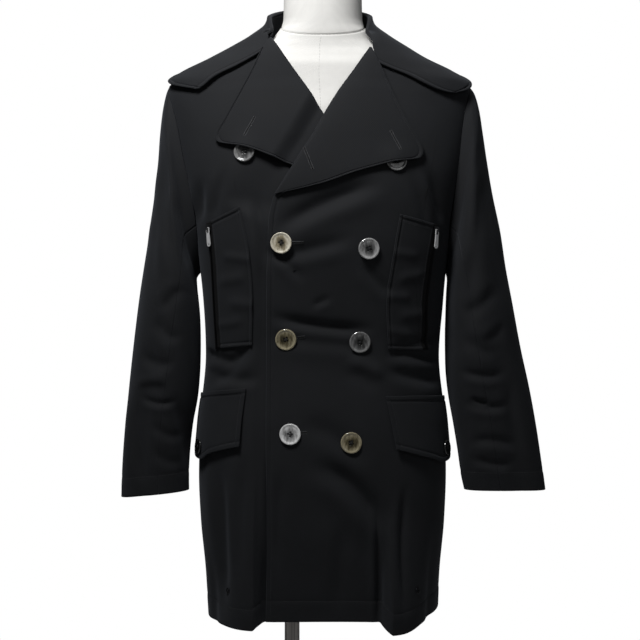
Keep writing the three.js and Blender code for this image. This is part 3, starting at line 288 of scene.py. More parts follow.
RIGHT_SLEEVE = columns(
    "out_across out_height in_across in_height front back depth",
    (231, 1384, 186, 1112, 60, 64, 4),
    (236, 1360, 186, 1102, 66, 70, 3),
    (240, 1325, 185, 1090, 71, 74, 2),
    (243, 1280, 183, 1075, 74, 76, 0),
    (248, 1235, 181, 1055, 75, 76, -2),
    (255, 1180, 180, 1030, 74, 74, -5),
    (263, 1125, 180, 1000, 71, 71, -8),
    (270, 1075, 181, 970, 67, 67, -11),
    (278, 1010, 184, 935, 61, 60, -15),
    (284, 950, 190, 900, 54, 52, -19),
    (289, 890, 194, 862, 46, 44, -22),
    (293, 835, 196, 826, 39, 38, -25),
    (294, 792, 196, 802, 35, 34, -26),
)
SLEEVE_TROUGHS = columns(
    "middle spread out from to",
    (48, 13, -5, 0.12, 0.62),
    (72, 11, -4, 0.55, 1.2),
    (300, 13, -5, 0.15, 0.7),
)
RIGHT_CHEST_POCKET = columns(
    "share out_across out_height in_across in_height",
    (0, -153.8, 1009, -100.6, 1014),
    (0.33, -156.7, 1066, -99, 1080),
    (0.66, -160, 1128, -103.5, 1145),
    (1, -166.5, 1189, -117.5, 1211),
)
LEFT_CHEST_POCKET = columns(
    "share out_across out_height in_across in_height",
    (0, 150.7, 1007, 93.2, 1008.5),
    (0.33, 150, 1064, 90.5, 1071),
    (0.66, 156, 1124, 98, 1134),
    (1, 166.5, 1186, 109.6, 1200),
)
RIGHT_FLAP = columns(
    "share top_angle top bottom_angle bottom",
    (0, -33.4, 952, -35, 870),
    (0.25, -46, 949, -47, 864),
    (0.5, -58, 947, -59, 857),
    (0.68, -67, 945.5, -68, 848.5),
    (0.84, -77, 944, -78, 851),
    (1, -86, 943, -87, 859),
)
LEFT_FLAP = columns(
    "share top_angle top bottom_angle bottom",
    (0, 25.2, 941, 29.6, 866.5),
    (0.25, 40, 941, 43, 857.5),
    (0.5, 55, 940.5, 57, 850),
    (0.68, 66, 940, 67, 845),
    (0.84, 76, 939.5, 77, 847.5),
    (1, 85, 939, 86, 853),
)
# Creases: the side that faces (1 front, -1 back), both ends (across, height), how far the line bows
# to its right, how far out it stands (below 0 is a trough) and its width
BODY_CREASES = columns(
    "facing x0 z0 x1 z1 bow out width",
    (1, -79, 850, -80, 618, 0, -6, 3.6),
    (1, 79, 780, 80, 618, 0, -6, 3.6),
    (1, -62, 1181, 78, 1243, -5, -8.8, 9),
    (1, -68, 1053, 66, 1036, 4, -7.4, 6),
    (1, -14, 1070, 10, 1081, 0, -3.1, 3.6),
    (1, -70, 1024, 60, 1012, -3, -3.5, 8.1),
    (1, 36, 991, 86, 969, -3, 5, 7.2),
    (1, -167, 953, -102, 1016, 5, -4.6, 6.3),
    (1, -160, 976, -112, 1008, 3, -3, 4.5),
    (1, 0, 846, 84, 756, -9, -11.3, 10.8),
    (1, -20, 905, 60, 846, -5, -4.6, 10.8),
    (1, 117, 806, 118, 634, 5, -6.5, 4.5),
    (1, -149, 838, -146, 636, -3, -7.7, 7.2),
    (1, -112, 850, -118, 690, 3, -3.5, 6.3),
    (1, -76, 1139, 40, 1166, 3, -4.2, 7.2),
    (1, -74, 1150, -28, 1106, -2, -3.1, 5.4),
    (1, 60, 1130, 96, 1085, 2, -3.9, 6.3),
    (1, -96, 1218, -72, 1120, 3, -4.2, 5.4),
    (1, 150, 1262, 176, 1150, -6, -6.1, 6.3),
    (1, 128, 1250, 160, 1150, -3, -3.1, 5.4),
    (1, -176, 1250, -168, 1150, 5, -5.7, 6.3),
    (1, -140, 1262, -158, 1180, 3, -3.1, 5.4),
    (1, -176, 1004, -128, 992, 3, -5.3, 5.4),
    (1, 92, 1000, 168, 992, -3, -5.3, 5.4),
    (1, 96, 1010, 172, 1030, 3, -3.1, 5.4),
    (1, -168, 974, -92, 966, 4, -4.2, 6.3),
    (1, 94, 978, 172, 964, 4, -4.6, 6.3),
    (1, -60, 830, -66, 690, 2, -3.5, 7.2),
    (1, 30, 760, 24, 640, 2, -3, 9),
    (-1, -150, 1250, -60, 1176, 9, -5.3, 8.1),
    (-1, 148, 1262, 66, 1190, -8, -4.8, 7.2),
    (-1, -120, 1204, -30, 1150, 7, -3.1, 7.2),
    (-1, 110, 1190, 18, 1140, -7, -3.7, 8.1),
    (-1, -160, 1066, -34, 1030, 7, -5.6, 8.1),
    (-1, 164, 1058, 26, 1040, -6, -5, 7.2),
    (-1, -140, 1010, 30, 1002, 5, -4.5, 9),
    (-1, 150, 1002, 40, 976, -5, -3.7, 7.2),
    (-1, -90, 966, 96, 958, -5, -2.6, 9),
    (-1, -104, 900, -130, 690, 5, -6.4, 9),
    (-1, 92, 880, 118, 664, -6, -5.7, 9),
    (-1, -46, 850, -52, 650, 4, -3.7, 8.1),
    (-1, 40, 840, 50, 690, -4, -3.1, 7.2),
    (-1, -92, 1330, -20, 1366, 5, -2.9, 8.1),
    (-1, 84, 1320, 24, 1362, -5, -2.6, 7.2),
)
SLEEVE_CREASES = columns(
    "facing x0 z0 x1 z1 bow out width",
    (1, -229, 1284, -209, 1126, 6, -5.9, 8.1),
    (1, -246, 1250, -236, 1160, 4, -2.3, 6.3),
    (1, -214, 1230, -196, 1130, -3, -2.8, 5.4),
    (1, -262, 938, -212, 932, 5, -3.9, 3.6),
    (1, -270, 958, -224, 962, -4, 3.2, 5.4),
    (1, -268, 936, -262, 818, 3, -4.3, 7.2),
    (1, -214, 938, -196, 830, -4, -3.5, 6.3),
    (1, -240, 1050, -206, 1020, 5, -3.2, 7.2),
    (1, -262, 1000, -214, 986, 6, -3.5, 6.3),
    (1, -246, 900, -204, 880, 5, -2.3, 5.4),
    (1, -244, 860, -206, 842, 4, -2, 5.4),
    (1, -200, 1096, -230, 1064, 3, -2.8, 6.3),
    (1, 211, 1144, 216, 1038, 4, -5.9, 8.1),
    (1, 238, 1262, 226, 1160, 4, -2.6, 7.2),
    (1, 200, 976, 262, 972, 5, -3.9, 4.5),
    (1, 208, 930, 268, 926, 4, -4.3, 4.5),
    (1, 214, 936, 240, 931, 2, -4.3, 2.7),
    (1, 216, 874, 280, 868, -4, -3.8, 5.4),
    (1, 218, 848, 276, 840, 3, -3.3, 4.5),
    (1, 206, 1024, 250, 1000, 4, -3.2, 7.2),
    (1, 250, 1096, 206, 1060, -5, -3.3, 7.2),
    (1, 270, 960, 290, 860, 4, -2.9, 6.3),
    (1, 262, 1044, 230, 1018, -4, -2.3, 5.4),
    (-1, -234, 1270, -222, 1120, 4, -4.3, 8.1),
    (-1, -268, 1010, -206, 996, 5, -4.6, 5.4),
    (-1, -262, 966, -212, 948, 4, -3.8, 5.4),
    (-1, -256, 1060, -210, 1032, 5, -3.3, 7.2),
    (-1, -276, 912, -214, 902, 4, -2.9, 5.4),
    (-1, -264, 870, -262, 806, 3, -2.3, 5.4),
    (-1, 236, 1262, 226, 1110, -4, -4.6, 8.1),
    (-1, 270, 1014, 208, 992, -5, -4.5, 5.4),
    (-1, 280, 962, 214, 950, -5, -3.5, 5.4),
    (-1, 262, 1064, 214, 1036, -5, -3.2, 7.2),
    (-1, 290, 900, 222, 896, -4, -2.8, 5.4),
    (-1, 280, 868, 284, 812, 3, -2.3, 5.4),
)
POCKET_PUCKERS = columns(
    "side height tilt start end rise width",
    (1, 1142, 8, 0.3, 1.25, 1.7, 5),
    (1, 1112, -10, 0.1, 0.9, 2.2, 6),
    (1, 1082, 6, 0.35, 1.25, 1.9, 5),
    (1, 1056, -6, 0.0, 0.8, 2.0, 6),
    (1, 1030, 10, 0.3, 1.2, 1.5, 5),
    (-1, 1140, -8, 0.25, 1.25, 1.9, 5),
    (-1, 1108, 8, 0.1, 0.95, 2.0, 6),
    (-1, 1074, -6, 0.3, 1.25, 2.0, 6),
    (-1, 1046, 8, 0.0, 0.85, 1.7, 5),
)
# Front buttons: name, place across and up, how far each stands off on its thread, how far it is turned, and
# its horn
BUTTONS = (
    # button_right_1 lies under its lapel; its dark smoke horn is partly painted shade of the lapel.
    ("button_right_1", -111.2, 1289.5, 0.4, 40, "smoke_horn"),
    ("button_right_2", -58.4, 1159, 0.5, 10, "cream_horn"),
    ("button_right_3", -52.2, 1022, 0.7, 30, "olive_horn"),
    ("button_right_4", -45.8, 888, 0.5, 5, "ash_horn"),
    ("button_left_1", 104.6, 1276.5, 0.3, 60, "smoke_horn"),
    ("button_left_2", 65.1, 1151, 0.6, 25, "grey_horn"),
    ("button_left_3", 52.8, 1018.5, 0.7, 50, "smoke_horn"),
    ("button_left_4", 40.7, 876, 0.5, 35, "olive_horn"),
)
# Keyhole buttonholes: the panel, then the places across and up of the slit's start and of its eye
BUTTONHOLES = (
    ("left_front", -27, 1159.3, -50, 1159),
    ("left_front", -25, 1026, -44, 1024),
    ("left_front", -22, 890.5, -38, 889.5),
    ("right_lapel", -96.4, 1340.6, -111, 1313.6),
    ("left_lapel", 96.9, 1320, 110.4, 1293.8),
    ("left_lapel", -26.4, 1295.2, -14.3, 1264),
)
# Dart and princess seams, drawn as lines of painted shade: the panel, then places across and up along the
# line
SEAM_LINES = (
    ("right_front", (-127, 1252), (-122, 1228), (-117.4, 1212.5)),
    ("left_front", (164.5, 1317.9), (155, 1262), (146.5, 1224.3), (143.9, 1194)),
    ("left_chest_pocket", (133, 1101), (137, 1050), (138.5, 1015)),
)
EYELETS = (("right_eyelet", -129.1, 663), ("left_eyelet", 125.5, 664))
NECK_SEAM_FRONT = 1465
NECK_SEAM_BACK = 1503
# Spots where the cloth stays calm under a zip's hard slider: across and up
CALM_SPOTS = ((163, 1168), (-163, 1171))

LAPELS = {"left": LEFT_LAPEL, "right": RIGHT_LAPEL}
TOP_BUTTONS = {"left": (104.6, 1276.5), "right": (-111.2, 1289.5)}
LEAVES = {"left": LEFT_LEAF, "right": RIGHT_LEAF}
SLEEVES = {"left": LEFT_SLEEVE, "right": RIGHT_SLEEVE}
CHEST_POCKETS = {"left": LEFT_CHEST_POCKET, "right": RIGHT_CHEST_POCKET}
FLAPS = {"left": LEFT_FLAP, "right": RIGHT_FLAP}
SIDES = {"left": 1, "right": -1}


def ease(value, low, high):
    """0 up to low, 1 from high on, and the smooth S 3t^2 - 2t^3 between them."""
    t = np.clip((np.asarray(value, float) - low) / (high - low), 0, 1)
    return t * t * (3 - 2 * t)


def mix(start, end, share):
    """Straight from start, at share 0, to end, at share 1."""
    return start + (end - start) * share


def bell(distance, width):
    """1 at distance 0, falling off on both sides as a normal curve."""
    return np.exp(-((distance / width) ** 2) / 2)


def along(table, key, column, place):
    """A column's value at places along a key, on cubics whose slopes are harmonic means."""
    x, y = table[key], table[column]
    at = np.clip(np.asarray(place, float), x[0], x[-1])
    gap = np.diff(x)
    rise = np.diff(y) / gap
    product = rise[:-1] * rise[1:]
    total = np.where(product > 0, rise[:-1] + rise[1:], 1)
    slope = np.concatenate([rise[:1], np.where(product > 0, 2 * product / total, 0), rise[-1:]])
    row = np.clip(np.searchsorted(x, at, side="left") - 1, 0, len(gap) - 1)
    t = (at - x[row]) / gap[row]
    ends = y[row] * (1 + 2 * t) * (1 - t) ** 2 + y[row + 1] * (3 - 2 * t) * t**2
    return ends + gap[row] * (slope[row] * t * (1 - t) ** 2 - slope[row + 1] * t**2 * (1 - t))


def straight(x, y, place):
    """Straight lines between points with rising x, carried on past the ends."""
    row = np.clip(np.searchsorted(x, place, side="left") - 1, 0, len(x) - 2)
    return y[row] + (place - x[row]) * (y[row + 1] - y[row]) / (x[row + 1] - x[row])


def unit(vectors):
    """Vectors of length 1 with the same directions."""
    return vectors / np.maximum(np.linalg.norm(vectors, axis=-1, keepdims=True), 1e-9)


def on_section(table, angle, height, push=0.0):
    """Point of a level section: a superellipse with its own front and back depth, pushed out by a length.

    Angle 0 is the middle of the front and a quarter turn the left side.
    """
    half, front, back, shift, power = (
        along(table, "height", name, height) for name in ("half_width", "front", "back", "shift", "power")
    )
    side, ahead = np.sin(angle), np.cos(angle)
    across = np.sign(side) * np.abs(side) ** (2 / power)
    deep = np.sign(ahead) * np.abs(ahead) ** (2 / power)
    depth = np.where(ahead > 0, front, back)
    return np.stack(
        [shift + across * half + push * side, -deep * depth - push * ahead, height + 0 * angle], axis=-1
    )


def fold_push(angle, height):
    """How far the skirt's long folds push out: each a bell round its middle that grows to the hem."""
    push = 0.0
    for middle, inner, outer, out, top in zip(*SKIRT_FOLDS.values()):
        away = (np.degrees(angle) - middle + 180) % 360 - 180
        spread = np.where(away * np.sign(middle) > 0, outer, inner)
        push = push + out * bell(away, spread) * ease(top - height, 0, top - HEM)
    return push


def body_point(angle, height):
    return on_section(BODY, angle, height, fold_push(angle, height))


def leaf_point(angle, height):
    return on_section(LEAF, angle, height)


def outward(surface, angle, height):
    """Direction square to a surface of angle and height: the cross product of its two small steps."""
    turn, climb = 0.006, 0.6
    round_step = surface(angle + turn, height) - surface(angle - turn, height)
    up_step = surface(angle, height + climb) - surface(angle, height - climb)
    return unit(np.cross(round_step, up_step))


def crease_push(table, facing, across, height):
    """Soft troughs and ridges: each a bell across a bowed line, with a low one beside it and faded ends."""
    push = np.zeros(np.shape(across))
    for side, x0, z0, x1, z1, bow, out, width in zip(*table.values()):
        dx, dz = x1 - x0, z1 - z0
        length = math.hypot(dx, dz)
        s = ((across - x0) * dx + (height - z0) * dz) / length**2
        lateral = ((across - x0) * dz - (height - z0) * dx) / length - 4 * bow * s * (1 - s)
        fade = ease(s, -0.12, 0.3) * (1 - ease(s, 0.7, 1.12))
        shape = bell(lateral, width) - 0.4 * bell(lateral - 2.1 * width, 1.2 * width)
        push += out * shape * fade * ease(facing * side, 0.05, 0.35)
    return push


def slow_waves(angle, height):
    """Unevenness of hanging cloth: three long low waves that run aslant."""
    a = np.sin(height / 61 + 3.1 * angle) * np.sin(height / 143 - 5.3 * angle + 0.7)
    b = np.sin(height / 37 - 4.7 * angle + 1.9) * np.sin(height / 89 + 7.9 * angle)
    return 0.55 * a + 0.3 * b


def relief(angle, height):
    """Creases of the coat's body, with the cloth's slow waves below the chest."""
    point = body_point(angle, height)
    push = crease_push(BODY_CREASES, np.cos(angle), point[..., 0], height + 0 * angle)
    push = push + slow_waves(angle, height) * (1 - ease(height, 1190, 1330))
    for across, spot in CALM_SPOTS:
        away = np.hypot(point[..., 0] - across, height - spot)
        push = push * np.where(np.cos(angle) > 0, ease(away, 18, 42), 1)
    return push


def coat_point(angle, height, out=0.0):
    """The worn coat's outer face, creases and all, moved out by a distance."""
    angle, height = np.broadcast_arrays(np.asarray(angle, float), np.asarray(height, float))
    move = out + relief(angle, height)
    return body_point(angle, height) + outward(body_point, angle, height) * move[..., None]


def front_angle(across, height):
    """Angle of a point of the front that lies so far across at a height."""
    half, shift, power = (along(BODY, "height", name, height) for name in ("half_width", "shift", "power"))
    offset = across - shift
    return np.sign(offset) * np.arcsin(np.minimum(np.abs(offset) / half, 1) ** (power / 2))


def side_angle(height, facing):
    """Angle of the side seam, armhole or shoulder seam: facing is 1 on its front side, -1 on its back."""
    level = np.clip((height - ARMHOLE_MIDDLE) / ARMHOLE_HALF, -1, 1)
    depth = ARMHOLE_DEPTH - facing * ARMHOLE_HALF_DEPTH * np.sqrt(1 - level**2)
    return depth_angle(depth, height)


def depth_angle(depth, height):
    """Angle, on the left side, of a point of a section at a depth."""
    front, back, power = (along(BODY, "height", name, height) for name in ("front", "back", "power"))
    room = np.where(depth < 0, front, back)
    return math.pi / 2 + np.sign(depth) * np.arcsin((np.abs(depth) / room) ** (power / 2))


def turn_for(distance, angle, height):
    """Change of angle that moves a point of the body by a distance."""
    turn = 0.01
    step = np.linalg.norm(body_point(angle + turn, height) - body_point(angle - turn, height), axis=-1)
    return distance * 2 * turn / step


def side_line(height, facing):
    """The side of a panel, with its half of the seam's gap; the armhole has none."""
    angle = side_angle(height, facing)
    gap = facing * turn_for(SEAM / 2, angle, height)
    return np.where((height > ARMHOLE_BOTTOM) & (height < ARMHOLE_TOP), angle, angle - gap)


def hem_height(angle):
    return along(HEM_LINE, "angle", "height", np.degrees(angle))


def neck_height(angle):
    return along(NECK_LINE, "angle", "height", np.abs(np.degrees(angle)))


def row_height(angle, nominal):
    """A row of a panel is level, but bends to meet the hem below and the neck seam above."""
    near_hem = 1 - ease(nominal, HEM, HEM + 170)
    near_neck = ease(nominal, NECK - 55, NECK)
    return nominal + (hem_height(angle) - HEM) * near_hem + (neck_height(angle) - NECK) * near_neck


def roll_across(lapel, height):
    """How far across a lapel turns at a height, on straight lines."""
    return straight(lapel["roll_height"][::-1], lapel["roll_across"][::-1], height)


def left_edge(height):
    below = along(FREE_EDGE, "height", "across", height)
    return np.where(height < BREAK, below, roll_across(LEFT_LAPEL, height))


def covered(across, height, fade):
    """1 where the left front covers what lies under it, fading out beside its edge."""
    zone = ease(height, BREAK - 40, BREAK)
    low, high = -22 - fade * zone, -6 - 6 * zone
    t = np.clip((across - left_edge(height) - low) / (high - low), 0, 1)
    return t * t * (3 - 2 * t)


def close_at(count, low=0.0, high=0.0):
    """Shares from 0 to 1, drawn closer together near the low and the high end by the given strengths."""
    t = np.linspace(0, 1, count)
    return t - low * np.sin(math.pi * t) * (1 - t) / math.pi + high * np.sin(math.pi * t) * t / math.pi


def grid_quads(rows, columns_, wrap=False):
    """Corner numbers of a grid's quads, row by row; wrapped, the last column joins the first."""
    r, c = np.meshgrid(np.arange(rows - 1), np.arange(columns_ if wrap else columns_ - 1), indexing="ij")
    here = (r * columns_ + c).ravel()
    beside = (r * columns_ + (c + 1) % columns_).ravel()
    return np.stack([here, beside, beside + columns_, here + columns_], axis=1)


def signed_volume(points, quads):
    """Six times the volume inside closed quads: the sum of the triple products of their halves."""
    a, b, c, d = (points[quads[:, i]] for i in range(4))
    return float((a * (np.cross(b, c) + np.cross(c, d))).sum())


def add_piece(name, points, quads, uv, material, replaces=(), smooth=True, uv_quads=None):
    """A mesh piece of quads from points in millimetres, which rides on the coat and stands for CAD nodes."""
    if signed_volume(points, quads) < 0:
        quads = quads[:, ::-1]
        uv_quads = None if uv_quads is None else uv_quads[:, ::-1]
    mesh = bpy.data.meshes.new(name)
    mesh.vertices.add(len(points))
    mesh.vertices.foreach_set("co", (points * MM).astype(np.float32).ravel())
    mesh.loops.add(quads.size)
    mesh.loops.foreach_set("vertex_index", quads.astype(np.int32).ravel())
    mesh.polygons.add(len(quads))
    mesh.polygons.foreach_set("loop_start", np.arange(0, quads.size, 4, dtype=np.int32))
    mesh.polygons.foreach_set("use_smooth", np.full(len(quads), smooth))
    corner = (quads if uv_quads is None else uv_quads).ravel()
    layer = mesh.uv_layers.new(name="cloth")
    layer.uv.foreach_set("vector", (uv[corner] * MM).astype(np.float32).ravel())
    mesh.update(calc_edges=True)
    mesh.validate()
    mesh.materials.append(material)
    piece = bpy.data.objects.new(name, mesh)
    bpy.context.scene.collection.objects.link(piece)
    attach(piece, COAT)
    if replaces:
        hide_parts(*replaces)
    return piece


def arc_lengths(grid):
    """Distance along the rows and along the columns of a grid of points, both from its first corner."""
    along_row = np.linalg.norm(np.diff(grid, axis=1), axis=2)
    along_column = np.linalg.norm(np.diff(grid, axis=0), axis=2)
    across = np.concatenate([np.zeros((len(grid), 1)), np.cumsum(along_row, axis=1)], axis=1)
    up = np.concatenate([np.zeros((1, grid.shape[1])), np.cumsum(along_column, axis=0)], axis=0)
    return across, up


def grid_normals(grid, away_from):
    """Directions square to a grid, turned away from given points as judged over its later half."""
    normal = unit(np.cross(np.gradient(grid, axis=1), np.gradient(grid, axis=0)))
    late = slice(grid.shape[1] // 2, None)
    facing = (normal * (grid - away_from))[:, late].sum()
    return normal if facing > 0 else -normal


def edge_lift(across, up, stitched):
    """Borders raised between a panel's edges and their stitching, with a groove under the stitches.

    stitched holds, for each edge, its name, how far in its stitches lie and how far its border rises.
    """
    spans = {
        "left": across,
        "right": across[:, -1:] - across,
        "bottom": up,
        "top": up[-1:] - up,
    }
    lift = np.zeros(across.shape)
    for edge, inset, rise in stitched:
        border = 1 - ease(spans[edge], inset - 1.4, inset + 0.4)
        lift = np.maximum(lift, rise * border)
    for edge, inset, rise in stitched:
        lift -= 1.1 * rise * bell(spans[edge] - inset, 0.9 + 0.05 * inset)
    return lift


def cloth(name, middle, thick, material, replaces=(), away_from=None, stitched=()):
    """A cloth panel: a wall of even thickness round a grid of points, with a rounded rim.

    The outer and inner faces lie half the thickness out and in along the grid's normals. The rim's ring lies
    between them, pushed out of the panel's edge by a third of the thickness. Borders are raised along the
    stitched edges. Returns the piece with its outer face and normals, for what lies on it.
    """
    if away_from is None:
        away_from = middle * np.array([0, 0, 1.0])
    normal = grid_normals(middle, away_from)
    across, up = arc_lengths(middle)
    lift = edge_lift(across, up, stitched)
    outer = middle + normal * (thick / 2 + lift)[..., None]
    inner = middle - normal * (thick / 2)
    rows, cols = across.shape
    number = np.arange(rows * cols).reshape(rows, cols)
    round_it = np.concatenate([number[0, :-1], number[:-1, -1], number[-1, :0:-1], number[:0:-1, 0]])
    slide_across = np.zeros((rows, cols, 3))
    slide_up = np.zeros((rows, cols, 3))
    slide_across[:, 0], slide_across[:, -1] = middle[:, 0] - middle[:, 1], middle[:, -1] - middle[:, -2]
    slide_up[0], slide_up[-1] = middle[0] - middle[1], middle[-1] - middle[-2]
    slide = unit(unit(slide_across) + unit(slide_up)).reshape(-1, 3)[round_it]
    rim = (outer.reshape(-1, 3)[round_it] + inner.reshape(-1, 3)[round_it]) / 2 + slide * thick * 0.33
    count = rows * cols
    points = np.concatenate([outer.reshape(-1, 3), inner.reshape(-1, 3), rim])
    following = np.roll(round_it, -1)
    ring = 2 * count + np.arange(len(round_it))
    next_ring = np.roll(ring, -1)
    face = grid_quads(rows, cols)
    quads = np.concatenate([
        face,
        face[:, ::-1] + count,
        np.stack([following, round_it, ring, next_ring], axis=1),
        np.stack([next_ring, ring, round_it + count, following + count], axis=1),
    ])
    flat = np.stack([across, up], axis=-1).reshape(-1, 2)
    uv = np.concatenate([flat, flat, flat[round_it]])
    piece = add_piece(name, points, quads, uv, material, replaces)
    return {"piece": piece, "outer": outer, "normal": normal, "across": across, "up": up}


def inset_path(panel, edge, inset, low=None, high=None):
    """Points and normals on a panel's outer face at a distance from one edge, cut short at both ends.

    On each grid line that meets the edge, the place at the distance is found on its cumulative length.
    """
    swap = edge in ("bottom", "top")
    last = edge in ("right", "top")
    outer, normal = panel["outer"], panel["normal"]
    length = panel["up"] if swap else panel["across"]
    if swap:
        outer, normal, length = outer.swapaxes(0, 1), normal.swapaxes(0, 1), length.T
    if last:
        outer, normal, length = outer[:, ::-1], normal[:, ::-1], (length[:, -1:] - length)[:, ::-1]
    line = np.arange(len(outer))
    after = np.clip((length < inset).sum(axis=1), 1, length.shape[1] - 1)
    start, end = length[line, after - 1], length[line, after]
    share = ((inset - start) / (end - start))[:, None]
    path = mix(outer[line, after - 1], outer[line, after], share)
    facing = unit(mix(normal[line, after - 1], normal[line, after], share))
    run = np.concatenate([[0], np.cumsum(np.linalg.norm(np.diff(path, axis=0), axis=1))])
    keep = (run >= (inset if low is None else low)) & (run <= run[-1] - (inset if high is None else high))
    return path[keep], facing[keep]


def threads(start, end, facing, radius):
    """Short six-sided threads between pairs of points, arched out of the cloth and closed at their ends.

    A thread's rings follow its length t from -1 to 1, out by 1 - t^2 and thinner towards both ends.
    """
    t = np.array([-1, -0.5, 0.5, 1])
    out = unit(facing)[:, None]
    place = (start + end)[:, None] / 2 + (end - start)[:, None] / 2 * t[:, None]
    beside = unit(np.cross(unit(end - start)[:, None], out))
    turn = np.arange(6) * math.pi / 3
    thin = radius * np.array([0.35, 1, 1, 0.35])[:, None, None]
    middle = place + out * (radius * (0.25 - 0.9 * t**2))[:, None]
    ring = beside[:, :, None] * np.cos(turn)[:, None] + out[:, :, None] * np.sin(turn)[:, None]
    points = (middle[:, :, None] + thin * ring).reshape(-1, 3)
    caps = np.array([[3, 2, 1, 0], [5, 4, 3, 0], [18, 19, 20, 21], [18, 21, 22, 23]])
    quads = np.concatenate([grid_quads(4, 6, wrap=True), caps])
    return points, (quads + 24 * np.arange(len(start))[:, None, None]).reshape(-1, 4)


def thread_row(path, facing, pitch, long, radius):
    """A row of threads on a path, one at each pitch of its length."""
    run = np.concatenate([[0], np.cumsum(np.linalg.norm(np.diff(path, axis=0), axis=1))])
    centre = pitch * (np.arange(max(int(run[-1] / pitch), 1)) + 0.5)

    def take(values, at):
        return np.stack([np.interp(at, run, values[:, i]) for i in range(3)], axis=-1)

    return threads(take(path, centre - long / 2), take(path, centre + long / 2), take(facing, centre), radius)


def stitches(path, facing, finer=1.0):
    """A row of stitches of the coat's own pitch and thread, or finer ones."""
    sizes = bpy.context.scene.coat_sizes
    pitch, width = sizes.stitch_pitch / MM * finer, sizes.stitch_width / MM
    return thread_row(path, facing, pitch, 0.78 * pitch, width / 2)


def add_thread(name, rows, material):
    """One piece of several rows of stitches."""
    points, quads, offset = [], [], 0
    for row_points, row_quads in rows:
        points.append(row_points)
        quads.append(row_quads + offset)
        offset += len(row_points)
    points, quads = np.concatenate(points), np.concatenate(quads)
    return add_piece(name, points, quads, points[:, :2], material)


def end_cap(count):
    """Quads that close a ring of an even number of points, as a fan from its first one."""
    k = np.arange(1, count // 2)
    return np.stack([0 * k, 2 * k - 1, 2 * k, 2 * k + 1], axis=1)


def tube(name, rings, material, replaces=(), map_scale=1.0):
    """A closed piece of rings of points, each with an even number, and a flat cap at both ends."""
    rows, cols = rings.shape[:2]
    seam = np.concatenate([rings, rings[:, :1]], axis=1)
    across, up = arc_lengths(seam)
    uv = np.concatenate([np.stack([across, up], axis=-1).reshape(-1, 2), rings[-1, :, :2], rings[0, :, :2]])
    uv = uv * map_scale
    last, caps = (rows - 1) * cols, end_cap(cols)
    shift = rows * (cols + 1)
    return add_piece(
        name,
        rings.reshape(-1, 3),
        np.concatenate([grid_quads(rows, cols, wrap=True), caps + last, caps[:, ::-1]]),
        uv, material, replaces,
        uv_quads=np.concatenate([grid_quads(rows, cols + 1), caps + shift, caps[:, ::-1] + shift + cols]),
    )


def local_frame(point, out):
    """Directions across, out of and up along a surface at a point with a normal."""
    across = unit(np.cross(out, np.array([0, 0, 1.0])))
    return across, out, np.cross(across, out)


def place_in(frame_axes, point, local):
    """Local points, given across, out and up, moved to a place on a surface."""
    return point + local @ np.stack(frame_axes)


def on_panel(panel, across, height):
    """Points and normals of a panel's outer face at given places across and up.

    Each is a mean of the nearest corners' tangent planes, weighted by the inverse square of their distance.
    """
    outer, normal = panel["outer"].reshape(-1, 3), panel["normal"].reshape(-1, 3)
    across, height = np.atleast_1d(across).astype(float), np.atleast_1d(height).astype(float)
    dx = across[:, None] - outer[None, :, 0]
    dz = height[:, None] - outer[None, :, 2]
    away = dx**2 + dz**2 + 1e4 * (normal[None, :, 1] > -0.2)
    near = np.argpartition(away, 8, axis=1)[:, :8]
    line = np.arange(len(across))[:, None]
    weight = 1 / (away[line, near] + 0.05)
    weight /= weight.sum(axis=1, keepdims=True)
    n, p = normal[near], outer[near]
    deep = p[..., 1] - (n[..., 0] * dx[line, near] + n[..., 2] * dz[line, near]) / n[..., 1]
    point = np.stack([across, (deep * weight).sum(axis=1), height], axis=-1)
    return point, unit((n * weight[..., None]).sum(axis=1))


def node_material(name, build):
    """A material whose nodes are made by a function of its tree and its shader."""
    material = bpy.data.materials.new(name)
    material.use_nodes = True
    tree = material.node_tree
    build(tree, tree.nodes["Principled BSDF"])
    return material


def add_node(tree, kind, **settings):
    """A node with its settings; a setting that names an input gives that input its value."""
    node = tree.nodes.new(kind)
    for key, value in settings.items():
        if key in node.inputs:
            node.inputs[key].default_value = value
        else:
            setattr(node, key, value)
    return node


def pattern_place(tree, scale=(1, 1, 1), turn=0.0, source="UV"):
    """A mapping of the piece's own map, or of its Object coordinates, scaled and turned."""
    place = add_node(tree, "ShaderNodeTexCoord")
    mapping = add_node(tree, "ShaderNodeMapping")
    mapping.inputs["Scale"].default_value = scale
    mapping.inputs["Rotation"].default_value = (0, 0, turn)
    tree.links.new(place.outputs[source], mapping.inputs["Vector"])
    return mapping.outputs["Vector"]


def noise(tree, vector, scale, detail=3.0, roughness=0.55):
    texture = add_node(tree, "ShaderNodeTexNoise", Scale=scale, Detail=detail, Roughness=roughness)
    tree.links.new(vector, texture.inputs["Vector"])
    return texture.outputs["Fac"]


def waves(tree, vector, scale, distortion=0.0):
    texture = add_node(tree, "ShaderNodeTexWave", Scale=scale, Distortion=distortion)
    texture.inputs["Detail"].default_value = 1.5
    texture.inputs["Detail Scale"].default_value = 2.0
    tree.links.new(vector, texture.inputs["Vector"])
    return texture.outputs["Fac"]


def ramp(tree, factor, stops):
    """A colour ramp from (place, colour) stops."""
    node = add_node(tree, "ShaderNodeValToRGB")
    elements = node.color_ramp.elements
    while len(elements) < len(stops):
        elements.new(0.5)
    for element, (place, color) in zip(elements, stops):
        element.position = place
        element.color = (*color, 1)
    tree.links.new(factor, node.inputs["Fac"])
    return node.outputs["Color"]


def blend(tree, first, second, factor):
    """Both values mixed by a factor that is a number or a socket."""
    node = add_node(tree, "ShaderNodeMix")
    for value, socket in ((factor, node.inputs[0]), (first, node.inputs[2]), (second, node.inputs[3])):
        if isinstance(value, (int, float)):
            socket.default_value = value
        else:
            tree.links.new(value, socket)
    return node.outputs[0]


